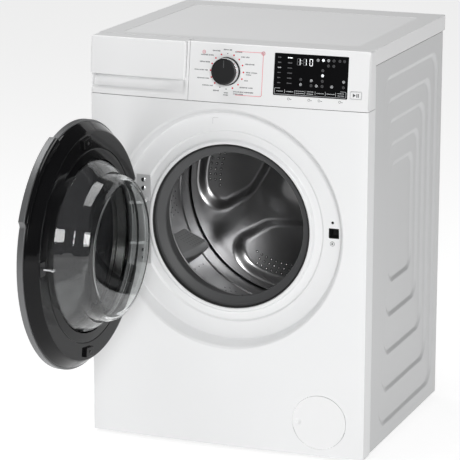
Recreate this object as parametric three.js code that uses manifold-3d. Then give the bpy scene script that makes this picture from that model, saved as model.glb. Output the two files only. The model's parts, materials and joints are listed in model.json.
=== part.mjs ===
// Front load washing machine with its door open, in millimetres.
//
// Measuring frame while building: X = 0 is the middle of the cabinet with +X to the right as
// seen from the front, Y = 0 is the front panel at its side edges with +Y to the back, and Z = 0
// is the floor. The finished group is then moved along Y so that its bounding box is centred.

import * as THREE from 'three';
import { mergeVertices } from 'three/addons/utils/BufferGeometryUtils.js';
import Module from 'manifold-3d';

const wasm = await Module();
wasm.setup();

// ---- Driving dimensions ------------------------------------------------------------------

const HALF_WIDTH = 300;
const HEIGHT = 850;
const BODY_BACK = 517;
const WORKTOP_BACK = 539;
const WORKTOP_BOTTOM = 818;
const WORKTOP_FRONT = 45;
const PANEL_BOTTOM = 7;
const FASCIA_BOTTOM = 731;
const FASCIA_LEAN = 13;
const FRONT_BOW = 9;
const CORNER_RADIUS = 4;
const FRONT_RETURN = 44;
const SHEET = 1.5;
const GAP = 0.4;

const PORT_Z = 468;
const PORT_LIP = 252;
const PORT_WALL = 238;
const PORT_DEPTH = 24;
const PORT_STEP = 200;
const PORT_MOUTH = 176;

const HINGE_X = -214.5;
const HINGE_Y = -18;
const DOOR_FRONT = -30;
const DOOR_RADIUS = 250.5;
const DOOR_OPEN_DEG = 92;
const DOOR_MOST_OPEN_DEG = 130;
const HANDLE_REACH = 9;
const HANDLE_ANGLES = [22, 66];
const RIM_DEPTH = 11;
const HINGE_ARM_ANGLE = 37;
const HINGE_ARM_REACH = 41;
const HINGE_ARM_OFFSETS = [-44, 44];
const HINGE_ARM_THICK = 6;
const HINGE_PIN_RADIUS = 4;

const LOCK_X = 223.5;
const LOCK_Z = 472.5;
const LOCK_SLOT = [25, 23];

const DRAWER_RIGHT = -88;
const DRAWER_SEAM = -82;
const DRAWER_BOTTOM = 772;
const DRAWER_TOP = 847;
const DRAWER_PROUD = 7.5;
const SCOOP_BOTTOM = 742;
const SCOOP_DEPTH = 23;
const TRAY_X = [-288, -106];
const TRAY_Y = [22, 240];
const TRAY_Z = [776, 828];
const TRAY_WALL = 2.5;

const KNOB_Z = 794.5;
const KNOB_RADIUS = 29;
const KNOB_REACH = 21;
const DISPLAY_X = [100, 255];
const DISPLAY_Z = [754, 838];
const BUTTON_X = [260, 285];
const BUTTON_Z = [755, 771];

const FLAP_X = 205.5;
const FLAP_Z = 79;
const FLAP_RADIUS = 56.6;

const TUB_RADIUS = 268;
const TUB_WALL = 4;
const TUB_FRONT = 104;
const TUB_SPLIT = 280;
const TUB_REAR = 462;
const TUB_NECK = 174;

const DRUM_RADIUS = 247;
const DRUM_WALL = 1.2;
const DRUM_FRONT = 112;
const DRUM_REAR = 432;
const DRUM_MOUTH = 168;
const LIFTER_ANGLES = [90, 210, 330];

const PULLEY_RADIUS = 140;
const MOTOR_PULLEY_RADIUS = 11;
const BELT_THICK = 3;
const BELT_Y = [480, 492];
const MOTOR_X = 105;
const MOTOR_Z = 138;
const VALVE_X = 223;
const VALVE_Z = 765;
const SPRING_PLACES = [[-205, 408], [205, 408]];
const SPRING_Z = [662, 784];
const SPRING_TURNS = 6;
const DAMPER_PLACES = [[-175, 250], [195, 250]];

// ---- Solid helpers -----------------------------------------------------------------------

function signedVolume(positions, index) {
  const corners = [new THREE.Vector3(), new THREE.Vector3(), new THREE.Vector3()];
  let volume = 0;
  for (let i = 0; i < index.length; i += 3) {
    corners.forEach((corner, k) => corner.fromArray(positions, 3 * index[i + k]));
    volume += corners[0].dot(corners[1].cross(corners[2])) / 6;
  }
  return volume;
}

// A closed three.js geometry as a solid with shared vertices and its faces pointing out.
function toSolid(geometry) {
  const bare = geometry.clone();
  bare.deleteAttribute('normal');
  bare.deleteAttribute('uv');
  const merged = mergeVertices(bare, 1e-3);
  const positions = merged.attributes.position.array;
  const index = [];
  for (let i = 0; i < merged.index.count; i += 3) {
    const [a, b, c] = [0, 1, 2].map((k) => merged.index.getX(i + k));
    if (a !== b && b !== c && c !== a) index.push(a, b, c);
  }
  if (signedVolume(positions, index) < 0) index.reverse();
  const mesh = new wasm.Mesh({
    numProp: 3,
    vertProperties: new Float32Array(positions),
    triVerts: new Uint32Array(index),
  });
  return new wasm.Manifold(mesh);
}

function toGeometry(solid) {
  const { vertProperties, triVerts } = solid.getMesh();
  const geometry = new THREE.BufferGeometry();
  geometry.setAttribute('position', new THREE.BufferAttribute(vertProperties, 3));
  geometry.setIndex(new THREE.BufferAttribute(triVerts, 1));
  geometry.computeVertexNormals();
  return geometry;
}

const join = (...parts) => toGeometry(parts.map(toSolid).reduce((sum, part) => sum.add(part)));
const cut = (body, ...tools) =>
  toGeometry(tools.map(toSolid).reduce((rest, tool) => rest.subtract(tool), toSolid(body)));
const meet = (a, b) => toGeometry(toSolid(a).intersect(toSolid(b)));

// ---- Shape helpers -----------------------------------------------------------------------

const middle = ([low, high]) => (low + high) / 2;
const shrink = ([low, high], by) => [low + by, high - by];
const degrees = THREE.MathUtils.degToRad;

function box(x, y, z) {
  const geometry = new THREE.BoxGeometry(x[1] - x[0], y[1] - y[0], z[1] - z[0]);
  return geometry.translate(middle(x), middle(y), middle(z));
}

function extrude(shape, [low, high], basis) {
  const options = { depth: high - low, bevelEnabled: false, curveSegments: 4 };
  const geometry = new THREE.ExtrudeGeometry(shape, options).translate(0, 0, low);
  return geometry.applyMatrix4(new THREE.Matrix4().makeBasis(...basis));
}

const X = new THREE.Vector3(1, 0, 0);
const Y = new THREE.Vector3(0, 1, 0);
const Z = new THREE.Vector3(0, 0, 1);
// Shapes for alongX are drawn in (Y, Z), for alongY in (X, Z) and for alongZ in (X, Y).
const alongX = (shape, range) => extrude(shape, range, [Y, Z, X]);
const alongZ = (shape, range) => extrude(shape, range, [X, Y, Z]);
const alongY = (shape, [low, high]) =>
  extrude(shape, [-high, -low], [X, Z, Y.clone().negate()]);

const polygon = (points) => new THREE.Shape(points.map(([a, b]) => new THREE.Vector2(a, b)));

function roundedRectangle([x0, x1], [y0, y1], radius) {
  const shape = new THREE.Shape();
  shape.moveTo(x0 + radius, y0);
  shape.lineTo(x1 - radius, y0);
  shape.absarc(x1 - radius, y0 + radius, radius, -Math.PI / 2, 0);
  shape.lineTo(x1, y1 - radius);
  shape.absarc(x1 - radius, y1 - radius, radius, 0, Math.PI / 2);
  shape.lineTo(x0 + radius, y1);
  shape.absarc(x0 + radius, y1 - radius, radius, Math.PI / 2, Math.PI);
  shape.lineTo(x0, y0 + radius);
  shape.absarc(x0 + radius, y0 + radius, radius, Math.PI, 1.5 * Math.PI);
  return shape;
}

// A turned solid about a line along Y through (x, z). The profile is [radius, y] pairs, and it
// closes on itself unless both ends are on the axis.
function turned(profile, segments = 40, x = 0, z = PORT_Z) {
  const points = profile.map(([radius, y]) => new THREE.Vector2(radius, y));
  const open = points[0].x > 0 || points[points.length - 1].x > 0;
  if (open) points.push(points[0].clone());
  return new THREE.LatheGeometry(points, segments).translate(x, 0, z);
}

function disc(radius, [front, back], segments = 40, x = 0, z = PORT_Z) {
  return turned([[0, front], [radius, front], [radius, back], [0, back]], segments, x, z);
}

function ring(inner, outer, [front, back], segments = 40, x = 0, z = PORT_Z) {
  const profile = [[inner, front], [outer, front], [outer, back], [inner, back]];
  return turned(profile, segments, x, z);
}

function post(radius, [low, high], x, y, segments = 20) {
  const geometry = new THREE.CylinderGeometry(radius, radius, high - low, segments);
  return geometry.rotateX(Math.PI / 2).translate(x, y, (low + high) / 2);
}

// A solid skinned over loops of equal point count, closed by a fan at each end.
function lofted(loops) {
  const count = loops[0].length;
  const positions = loops.flat(2);
  const index = [];
  for (let k = 0; k + 1 < loops.length; k += 1) {
    for (let i = 0; i < count; i += 1) {
      const next = (i + 1) % count;
      const [a, b] = [k * count + i, k * count + next];
      index.push(a, b, b + count, a, b + count, a + count);
    }
  }
  const last = (loops.length - 1) * count;
  for (let i = 1; i + 1 < count; i += 1) {
    index.push(0, i + 1, i, last, last + i, last + i + 1);
  }
  const geometry = new THREE.BufferGeometry();
  geometry.setAttribute('position', new THREE.Float32BufferAttribute(positions, 3));
  geometry.setIndex(index);
  return toGeometry(toSolid(geometry));
}

// ---- Materials ---------------------------------------------------------------------------

const material = (color, roughness, metalness) =>
  new THREE.MeshStandardMaterial({ color, roughness, metalness, flatShading: true });

const finishes = {
  whitePaint: () => material(0xf2f3f4, 0.35, 0.0),
  whitePlastic: () => material(0xf4f4f4, 0.4, 0.0),
  blackGloss: () => material(0x0c0d0f, 0.12, 0.0),
  greyTrim: () => material(0x8b8f94, 0.3, 0.6),
  glass: () => material(0xd6dde0, 0.05, 0.0),
  steel: () => material(0xb4b8bc, 0.3, 1.0),
  zinc: () => material(0x9a9ea2, 0.45, 0.9),
  castAluminium: () => material(0xa8abad, 0.55, 0.8),
  rubber: () => material(0x55585b, 0.7, 0.0),
  blackRubber: () => material(0x1b1b1c, 0.8, 0.0),
  greyPlastic: () => material(0x9da1a5, 0.5, 0.0),
  concrete: () => material(0x8f8d88, 0.9, 0.0),
  copper: () => material(0x9a5a32, 0.4, 0.9),
};

// ---- Assembly ----------------------------------------------------------------------------

const machine = new THREE.Group();

function place(name, geometry, finish, parent = machine) {
  const mesh = new THREE.Mesh(toGeometry(toSolid(geometry)), finishes[finish]());
  mesh.name = name;
  parent.add(mesh);
  return mesh;
}

// ---- Bowed front -------------------------------------------------------------------------

const bow = (x) => -FRONT_BOW * (1 - (x / HALF_WIDTH) ** 2);

// Half plan outlines run from the left back corner round the front to the right back corner.
function frontOutline(inset, back) {
  const points = [];
  const cornerX = HALF_WIDTH - CORNER_RADIUS;
  const cornerY = bow(cornerX) + CORNER_RADIUS;
  const radius = CORNER_RADIUS - inset;
  for (let i = 0; i <= 3; i += 1) {
    const angle = (i * Math.PI) / 6;
    points.push([-cornerX - radius * Math.cos(angle), cornerY - radius * Math.sin(angle)]);
  }
  const steps = 14;
  for (let i = 1; i < steps; i += 1) {
    const x = cornerX * ((2 * i) / steps - 1);
    points.push([x, bow(x) + inset]);
  }
  const right = points.slice(0, 4).reverse().map(([x, y]) => [-x, y]);
  return [[inset - HALF_WIDTH, back], ...points, ...right, [HALF_WIDTH - inset, back]];
}

const frontShell = (zRange, wall, back) =>
  alongZ(polygon([...frontOutline(0, back), ...frontOutline(wall, back).reverse()]), zRange);
const frontBlock = (zRange, inset, back) => alongZ(polygon(frontOutline(inset, back)), zRange);

// ---- Front panel with the pressed door recess --------------------------------------------

// The recess is turned about the door axis, and its lip is drawn forward to follow the bow.
function recessRing() {
  const floor = PORT_DEPTH;
  const visible = [
    [PORT_LIP, 0.05], [PORT_LIP - 2.5, 1], [PORT_LIP - 4.2, 3], [PORT_WALL, floor],
    [PORT_STEP + 1, floor], [PORT_STEP - 1, floor + 2], [PORT_MOUTH + 2, floor + 2],
    [PORT_MOUTH, floor + 5], [PORT_MOUTH, floor + 11],
  ];
  const hidden = [
    [PORT_MOUTH + SHEET, floor + 11], [PORT_MOUTH + SHEET, floor + 5.7],
    [PORT_MOUTH + 3.7, floor + 3.5], [PORT_STEP + 0.5, floor + 3.5],
    [PORT_WALL + 1, floor + SHEET], [PORT_LIP - 2.6, 3.9], [PORT_LIP, 1.4],
  ];
  const geometry = turned([...visible, ...hidden], 48);
  const position = geometry.attributes.position;
  for (let i = 0; i < position.count; i += 1) {
    const [x, z] = [position.getX(i), position.getZ(i) - PORT_Z];
    const share = THREE.MathUtils.clamp((Math.hypot(x, z) - PORT_WALL) / 9, 0, 1);
    position.setY(i, position.getY(i) + bow(x) * share);
  }
  return geometry;
}

function frontPanel() {
  const zRange = [PANEL_BOTTOM, FASCIA_BOTTOM - GAP];
  const shell = cut(frontShell(zRange, SHEET, FRONT_RETURN), disc(PORT_LIP - 1.5, [-40, 40], 48));
  const slot = box(
    [LOCK_X - LOCK_SLOT[0] / 2, LOCK_X + LOCK_SLOT[0] / 2], [10, 40],
    [LOCK_Z - LOCK_SLOT[1] / 2, LOCK_Z + LOCK_SLOT[1] / 2],
  );
  const peephole = disc(3, [10, 40], 12, 220, 494.6);
  const flapHole = disc(FLAP_RADIUS + 1.2, [-40, 40], 32, FLAP_X, FLAP_Z);
  return cut(join(shell, recessRing()), slot, peephole, flapHole);
}

// ---- Cabinet -----------------------------------------------------------------------------

// Nested fields pressed into each side panel: [y range, z range], from the outside inwards.
const SIDE_FIELDS = [
  [[100, 484], [39.5, 783]],
  [[130, 452], [105, 733]],
  [[155, 425], [180, 685]],
  [[178, 398], [257, 633]],
  [[205, 371], [326, 587]],
];
const FIELD_DROP = 2.7;
const FIELD_RAMP = 9;

function fieldLoop(x, [y0, y1], [z0, z1], radius) {
  const points = [];
  const corners = [[y1, z1, 0], [y0, z1, 1], [y0, z0, 2], [y1, z0, 3]];
  for (const [y, z, quarter] of corners) {
    const cy = y - Math.sign(y - (y0 + y1) / 2) * radius;
    const cz = z - Math.sign(z - (z0 + z1) / 2) * radius;
    for (let i = 0; i <= 2; i += 1) {
      const angle = ((quarter + i / 2) * Math.PI) / 2;
      points.push([x, cy + radius * Math.cos(angle), cz + radius * Math.sin(angle)]);
    }
  }
  return points;
}

function sidePanel(side) {
  const yEdge = [FRONT_RETURN + GAP, BODY_BACK];
  const zEdge = [PANEL_BOTTOM + 3, WORKTOP_BOTTOM - GAP];
  const surface = (inset) => {
    const loops = [fieldLoop(HALF_WIDTH - inset, yEdge, zEdge, 0.5)];
    SIDE_FIELDS.forEach(([y, z], level) => {
      const x = HALF_WIDTH - inset - FIELD_DROP * level;
      const radius = 34 - 3 * level;
      loops.push(fieldLoop(x, y, z, radius));
      loops.push(fieldLoop(x - FIELD_DROP, shrink(y, FIELD_RAMP), shrink(z, FIELD_RAMP), radius));
    });
    return loops;
  };
  const geometry = lofted([...surface(0).reverse(), ...surface(SHEET)]);
  return side > 0 ? geometry : geometry.scale(-1, 1, 1);
}

function backPanel() {
  const inner = HALF_WIDTH - SHEET - GAP;
  const plate = box([-inner, inner], [BODY_BACK - SHEET, BODY_BACK], [60, WORKTOP_BOTTOM - GAP]);
  const access = alongY(roundedRectangle([-170, 170], [250, 690], 30), [500, 530]);
  const valveHole = disc(14, [500, 530], 16, VALVE_X, VALVE_Z);
  return cut(plate, access, valveHole);
}

function rearCover() {
  const back = BODY_BACK + GAP;
  const plate = alongY(roundedRectangle([-185, 185], [235, 705], 36), [back, back + SHEET]);
  const dome = turned([[0, back + 0.5], [135, back + 0.5], [128, back + 7], [0, back + 7]], 32);
  return join(plate, dome);
}

const FOOT_PLACES = {
  foot_front_left: [-255, 62],
  foot_front_right: [255, 62],
  foot_rear_left: [-255, 480],
  foot_rear_right: [255, 480],
};
const FOOT_STEM = 5;

function baseFrame() {
  const outer = HALF_WIDTH - SHEET - 16;
  const yRange = [FRONT_RETURN + 2, BODY_BACK - SHEET - GAP - 0.5];
  const pan = box([-outer, outer], yRange, [14, 34]);
  const well = box([-outer + 38, outer - 38], shrink(yRange, 38), [0, 60]);
  const holes = Object.values(FOOT_PLACES).map(([x, y]) => post(FOOT_STEM + GAP, [0, 60], x, y, 12));
  return cut(pan, well, ...holes);
}

function foot([x, y]) {
  const pad = [[0, 0], [18, 0], [21, 3], [21, 7], [13, 11]];
  const profile = [...pad, [FOOT_STEM, 12], [FOOT_STEM, 46], [0, 46]];
  const points = profile.map(([radius, z]) => new THREE.Vector2(radius, z));
  return new THREE.LatheGeometry(points, 12).rotateX(Math.PI / 2).translate(x, y, 0);
}

function worktopFrame() {
  const y = [WORKTOP_FRONT, WORKTOP_BACK];
  const body = box([-HALF_WIDTH, HALF_WIDTH], y, [WORKTOP_BOTTOM, HEIGHT]);
  const inner = [-HALF_WIDTH + 6, HALF_WIDTH - 6];
  const well = box(inner, [WORKTOP_FRONT - 5, BODY_BACK - 18], [WORKTOP_BOTTOM - 5, 837]);
  const seat = box([-256, 256], [WORKTOP_FRONT + 10, 489], [836, HEIGHT + 5]);
  return cut(body, well, seat);
}

const worktopBoard = () => box([-255.6, 255.6], [WORKTOP_FRONT + 10.4, 488.6], [838, HEIGHT - 1]);

function topBrace() {
  const bar = box([-282, 282], [392, 424], [798, 814]);
  const channel = box([-300, 300], [396, 420], [790, 811]);
  const eyes = SPRING_PLACES.map(([x]) => box([x - 8, x + 8], [404, 412], [786, 812]));
  return join(cut(bar, channel), ...eyes);
}

// ---- Fascia ------------------------------------------------------------------------------

// The fascia leans back: the front moves by FASCIA_LEAN over its height, its back edge stays.
function lean(geometry) {
  const position = geometry.attributes.position;
  for (let i = 0; i < position.count; i += 1) {
    const height = (position.getZ(i) - FASCIA_BOTTOM) / (HEIGHT - FASCIA_BOTTOM);
    const share = Math.max(0, (FRONT_RETURN - position.getY(i)) / FRONT_RETURN);
    position.setY(i, position.getY(i) + FASCIA_LEAN * height * share);
  }
  return geometry;
}

const LEAN_SLOPE = FASCIA_LEAN / (HEIGHT - FASCIA_BOTTOM);
const fasciaY = (x, z) => bow(x) + LEAN_SLOPE * (z - FASCIA_BOTTOM) * (1 - bow(x) / FRONT_RETURN);
const FASCIA_WALL = 2.5;

function fasciaShell() {
  const outside = lean(frontBlock([FASCIA_BOTTOM, HEIGHT], 0, FRONT_RETURN));
  const inside = lean(frontBlock([FASCIA_BOTTOM - 1, HEIGHT - FASCIA_WALL], FASCIA_WALL, 60));
  return cut(outside, inside);
}

// A sheet that follows the fascia, between two depths behind its surface.
function fasciaLayer([low, high], [front, back]) {
  const outside = lean(frontBlock([low, high], 0, 70)).translate(0, front, 0);
  const inside = lean(frontBlock([low - 5, high + 5], 0, 80)).translate(0, back, 0);
  return cut(outside, inside);
}

function controlPanel() {
  const right = meet(fasciaShell(), box([DRAWER_SEAM + GAP, 400], [-50, 100], [700, 900]));
  const window = alongY(roundedRectangle(DISPLAY_X, DISPLAY_Z, 2), [-40, 60]);
  const button = alongY(roundedRectangle(BUTTON_X, BUTTON_Z, 2.5), [-40, 60]);
  const shaft = disc(6, [-40, 60], 20, 0, KNOB_Z);
  return cut(right, window, button, shaft);
}

function drawerSurround() {
  const left = meet(fasciaShell(), box([-400, DRAWER_SEAM], [-50, 100], [700, 900]));
  const opening = box([-400, DRAWER_RIGHT + GAP], [-50, 40], [SCOOP_BOTTOM, DRAWER_TOP + 0.4]);
  const front = bow(-200) + 1.5;
  const deep = front + SCOOP_DEPTH;
  const scoop = alongX(
    polygon([[front, SCOOP_BOTTOM - 3], [front, SCOOP_BOTTOM], [deep, DRAWER_BOTTOM - 1],
      [deep + 18, DRAWER_BOTTOM - 1], [deep + 18, DRAWER_BOTTOM - 4], [deep + 3, DRAWER_BOTTOM - 4],
      [front + 6, SCOOP_BOTTOM - 3]]),
    [-HALF_WIDTH + 1, DRAWER_SEAM - 1],
  );
  const strip = box([DRAWER_RIGHT + GAP, DRAWER_SEAM], [4, 43], [SCOOP_BOTTOM - 4, HEIGHT - 1]);
  return join(cut(left, opening), meet(scoop, lean(frontBlock([700, 900], 0.3, 70))), strip);
}

// ---- Detergent drawer --------------------------------------------------------------------

function drawerFront() {
  const zRange = [DRAWER_BOTTOM, DRAWER_TOP];
  const slab = lean(frontBlock(zRange, 0, 60)).translate(0, -DRAWER_PROUD, 0);
  const face = roundedRectangle([-HALF_WIDTH, DRAWER_RIGHT - GAP], zRange, 5);
  const outline = alongY(face, [-40, TRAY_Y[0] - GAP]);
  return meet(slab, outline);
}

function detergentTray() {
  const body = box(TRAY_X, TRAY_Y, TRAY_Z);
  const inner = shrink(TRAY_X, TRAY_WALL);
  const [front, back] = shrink(TRAY_Y, TRAY_WALL);
  const floor = TRAY_Z[0] + TRAY_WALL;
  const third = (inner[1] - inner[0] - 2 * TRAY_WALL) / 3;
  const pockets = [0, 1, 2].map((i) => {
    const left = inner[0] + i * (third + TRAY_WALL);
    return box([left, left + third], [front, back], [floor, TRAY_Z[1] + 5]);
  });
  return cut(body, ...pockets);
}

function dispenserHousing() {
  const body = box([-292, -102], [50, 256], [770, 835]);
  const inside = box([-290, -104], [40, 253.5], [772.5, 833]);
  const outlet = post(14, [735, 771], -190, 200, 16);
  const bore = post(11, [730, 774], -190, 200, 16);
  return cut(join(body, outlet), inside, bore);
}

// ---- Controls ----------------------------------------------------------------------------

const LEAN_ANGLE = Math.atan(LEAN_SLOPE);

// Moves a piece made upright at the origin, facing -Y, onto the leaning fascia at (x, z).
const ontoFascia = (geometry, x, z) =>
  geometry.rotateX(-LEAN_ANGLE).translate(x, fasciaY(x, z), z);

function programKnob() {
  const profile = [
    [0, -KNOB_REACH], [KNOB_RADIUS - 3, -KNOB_REACH], [KNOB_RADIUS, -KNOB_REACH + 3],
    [KNOB_RADIUS, -1.2], [5, -1.2], [5, 14], [0, 14],
  ];
  return ontoFascia(turned(profile, 40, 0, 0), 0, KNOB_Z);
}

function startButton() {
  const face = roundedRectangle(shrink(BUTTON_X, 0.5), shrink(BUTTON_Z, 0.5), 2);
  const layer = fasciaLayer([BUTTON_Z[0] - 3, BUTTON_Z[1] + 3], [-0.6, 6]);
  return meet(layer, alongY(face, [-40, 60]));
}

function displayWindow() {
  const face = roundedRectangle(shrink(DISPLAY_X, GAP), shrink(DISPLAY_Z, GAP), 2);
  const layer = fasciaLayer([DISPLAY_Z[0] - 3, DISPLAY_Z[1] + 3], [0.2, 3]);
  return meet(layer, alongY(face, [-40, 60]));
}

// ---- Door --------------------------------------------------------------------------------

const doorDepth = (profile) => profile.map(([radius, s]) => [radius, DOOR_FRONT + s]);

// The space that the two hinge arms sweep inside the door, from shut to fully open.
function hingeArmSweep(reach) {
  const sweep = new THREE.Shape();
  const first = degrees(HINGE_ARM_ANGLE - 10);
  const last = degrees(HINGE_ARM_ANGLE + DOOR_MOST_OPEN_DEG + 6);
  sweep.moveTo(HINGE_X + 9, HINGE_Y - 8.4);
  sweep.absarc(HINGE_X, HINGE_Y, reach, first, last);
  sweep.lineTo(HINGE_X - 9, HINGE_Y - 8.4);
  return HINGE_ARM_OFFSETS.map((offset) => {
    const z = PORT_Z + offset;
    return alongZ(sweep, [z - HINGE_ARM_THICK / 2 - 1, z + HINGE_ARM_THICK / 2 + 1]);
  });
}

function doorRim() {
  const inner = DOOR_RADIUS - 14;
  const band = turned(doorDepth([
    [inner, 1], [DOOR_RADIUS - 3, 0], [DOOR_RADIUS, 3],
    [DOOR_RADIUS, RIM_DEPTH], [inner, RIM_DEPTH],
  ]), 48);
  const [from, to] = HANDLE_ANGLES.map(degrees);
  const handle = new THREE.Shape();
  const reach = DOOR_RADIUS + HANDLE_REACH;
  handle.absarc(0, 0, DOOR_RADIUS - 5, from - 0.05, to + 0.05, false);
  handle.absarc(0, 0, reach, to, from, true);
  const grip = alongY(handle, [DOOR_FRONT + 0.6, DOOR_FRONT + RIM_DEPTH]).translate(0, 0, PORT_Z);
  return cut(join(band, grip), ...hingeArmSweep(70));
}

function doorOuterCover() {
  const edge = DOOR_RADIUS - 15.2;
  const profile = [[0, -1], [150, 0], [edge, 1], [edge, 2.8], [0, 2.8]];
  return turned(doorDepth(profile), 40);
}

const HINGE_LUG_OFFSETS = [-58, -26, 26, 58];

function doorInnerFrame() {
  const ringBody = turned(doorDepth([
    [DOOR_RADIUS - 4, RIM_DEPTH + GAP], [236, 19.4], [232, 21], [205, 25], [180, 35.5], [176, 37],
    [173.6, 37], [173.6, 31.2], [186, 31.2], [204, 21.5], [226, 16.5], [228, RIM_DEPTH + GAP],
  ]), 44);
  const lugs = HINGE_LUG_OFFSETS.map((offset) => box(
    [HINGE_X - 8, HINGE_X + 8], [DOOR_FRONT + 3.5, DOOR_FRONT + 21],
    [PORT_Z + offset - 7, PORT_Z + offset + 7],
  ));
  const pinHole = post(HINGE_PIN_RADIUS + GAP, [PORT_Z - 66, PORT_Z + 66], HINGE_X, HINGE_Y, 16);
  return cut(join(ringBody, ...lugs), ...hingeArmSweep(70), pinHole);
}

const BOWL = [[172.8, 37], [162, 53], [150, 66], [146, 86], [141, 100], [130, 104]];

function doorGlass() {
  const thick = 4;
  const outer = [[184, 27], [184, 30.6], [172.8, 30.6], ...BOWL, [0, 107]];
  const inner = [[0, 107 - thick], [128, 104 - thick], [137, 97], [146, 66], [158, 51], [168.6, 37],
    [168.6, 27]];
  return turned(doorDepth([...outer, ...inner]), 36);
}

function latchHook() {
  const z = [LOCK_Z - 3.5, LOCK_Z + 3.5];
  const stem = box([LOCK_X - 5, LOCK_X + 5], [DOOR_FRONT + 23.4, 37], z);
  const nose = box([LOCK_X - 5, LOCK_X + 8], [31, 37], z);
  return join(stem, nose);
}

const hingePin = () =>
  post(HINGE_PIN_RADIUS, [PORT_Z - 64, PORT_Z + 64], HINGE_X, HINGE_Y, 16);

function hingeBracket() {
  const face = PORT_DEPTH - GAP;
  const plate = box([-207, -177], [face - 3, face], [PORT_Z - 94, PORT_Z + 94]);
  const [dx, dy] = [Math.cos(degrees(HINGE_ARM_ANGLE)), Math.sin(degrees(HINGE_ARM_ANGLE))];
  const elbow = [HINGE_X + HINGE_ARM_REACH * dx, HINGE_Y + HINGE_ARM_REACH * dy];
  const arms = HINGE_ARM_OFFSETS.flatMap((offset) => {
    const z = [PORT_Z + offset - HINGE_ARM_THICK / 2, PORT_Z + offset + HINGE_ARM_THICK / 2];
    const link = polygon([
      [HINGE_X - 4 * dy, HINGE_Y + 4 * dx], [HINGE_X + 4 * dy, HINGE_Y - 4 * dx],
      [elbow[0] + 4, elbow[1] - 4], [elbow[0] + 4, face],
      [elbow[0] - 7, face], [elbow[0] - 7, elbow[1] + 2],
    ]);
    return [alongZ(link, z), post(7.5, z, HINGE_X, HINGE_Y, 20)];
  });
  const pinHole = post(HINGE_PIN_RADIUS + GAP, [PORT_Z - 80, PORT_Z + 80], HINGE_X, HINGE_Y, 16);
  return cut(join(plate, ...arms), pinHole);
}

function doorLock() {
  const back = PORT_DEPTH + 2 + SHEET;
  const body = box([LOCK_X - 22, LOCK_X + 22], [back, back + 34], [LOCK_Z - 36, LOCK_Z + 34]);
  const throat = box([LOCK_X - 11, LOCK_X + 11], [0, back + 26], [LOCK_Z - 10, LOCK_Z + 10]);
  return cut(body, throat);
}

// ---- Gasket, tub and drum ----------------------------------------------------------------

function doorGasket() {
  const front = PORT_DEPTH + 3;
  return turned([
    [PORT_MOUTH - GAP, front], [172, front], [168, 32], [150.6, 43], [150.6, 47], [166, 53],
    [165, 72], [165, 98], [TUB_NECK - TUB_WALL - 1.5, 98], [TUB_NECK - TUB_WALL - 1.5, 62],
    [PORT_MOUTH - GAP, 33],
  ], 32);
}

function tubFront() {
  const inner = TUB_RADIUS - TUB_WALL;
  return turned([
    [TUB_NECK - TUB_WALL, 74], [TUB_NECK, 74], [TUB_NECK, TUB_FRONT - 6], [230, TUB_FRONT - 4],
    [TUB_RADIUS, TUB_FRONT + 22], [TUB_RADIUS, TUB_SPLIT - 8], [TUB_RADIUS + 10, TUB_SPLIT - 8],
    [TUB_RADIUS + 10, TUB_SPLIT], [inner, TUB_SPLIT], [inner, TUB_FRONT + 24],
    [228, TUB_FRONT], [TUB_NECK - TUB_WALL, TUB_FRONT - 2],
  ], 30);
}

function tubRear() {
  const inner = TUB_RADIUS - TUB_WALL;
  const front = TUB_SPLIT + GAP;
  return turned([
    [inner, front], [TUB_RADIUS + 10, front], [TUB_RADIUS + 10, front + 8],
    [TUB_RADIUS, front + 8], [TUB_RADIUS, TUB_REAR - 20], [240, TUB_REAR], [70, TUB_REAR],
    [46, TUB_REAR + 8], [36, TUB_REAR + 8], [36, TUB_REAR - 12], [60, TUB_REAR - 8],
    [238, TUB_REAR - 6], [inner, TUB_REAR - 24],
  ], 30);
}

function frontCounterweight() {
  const arc = new THREE.Shape();
  const [from, to] = [degrees(17), degrees(163)];
  arc.absarc(0, 0, 256, from, to, false);
  arc.absarc(0, 0, TUB_NECK + 12, to, from, true);
  return alongY(arc, [48, TUB_FRONT - 8]).translate(0, 0, PORT_Z);
}

function topCounterweight() {
  const block = box([-90, 150], [150, 372], [720, 790]);
  const cradle = disc(TUB_RADIUS + 13, [100, 420], 36);
  return cut(block, cradle);
}

const HEATER_RADIUS = 4;
const HEATER_Z = PORT_Z - 253;

function heater() {
  const route = new THREE.CurvePath();
  const side = 38;
  const [near, far] = [170, 430];
  const bend = 24;
  const at = (x, y) => new THREE.Vector3(x, y, HEATER_Z);
  const line = (a, b) => route.add(new THREE.LineCurve3(a, b));
  const turn = (a, b, c) => route.add(new THREE.QuadraticBezierCurve3(a, b, c));
  line(at(-side, far), at(-side, near + bend));
  turn(at(-side, near + bend), at(-side, near), at(bend - side, near));
  line(at(bend - side, near), at(side - bend, near));
  turn(at(side - bend, near), at(side, near), at(side, near + bend));
  line(at(side, near + bend), at(side, far));
  const section = new THREE.Shape().absarc(0, 0, HEATER_RADIUS, 0, 2 * Math.PI);
  return new THREE.ExtrudeGeometry(section, { steps: 18, extrudePath: route, curveSegments: 3 });
}

const SHAFT_RADIUS = 15;
const drumBearing = () => ring(SHAFT_RADIUS + 0.35, 35.6, [TUB_REAR - 11, TUB_REAR + 7], 18);

function spring([x, y]) {
  class Helix extends THREE.Curve {
    getPoint(t, target = new THREE.Vector3()) {
      const angle = t * SPRING_TURNS * 2 * Math.PI;
      const z = THREE.MathUtils.lerp(SPRING_Z[0], SPRING_Z[1], t);
      return target.set(x + 11 * Math.cos(angle), y + 11 * Math.sin(angle), z);
    }
  }
  const section = new THREE.Shape().absarc(0, 0, 1.6, 0, 2 * Math.PI);
  const options = { steps: 7 * SPRING_TURNS, extrudePath: new Helix(), curveSegments: 2 };
  return new THREE.ExtrudeGeometry(section, options);
}

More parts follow.
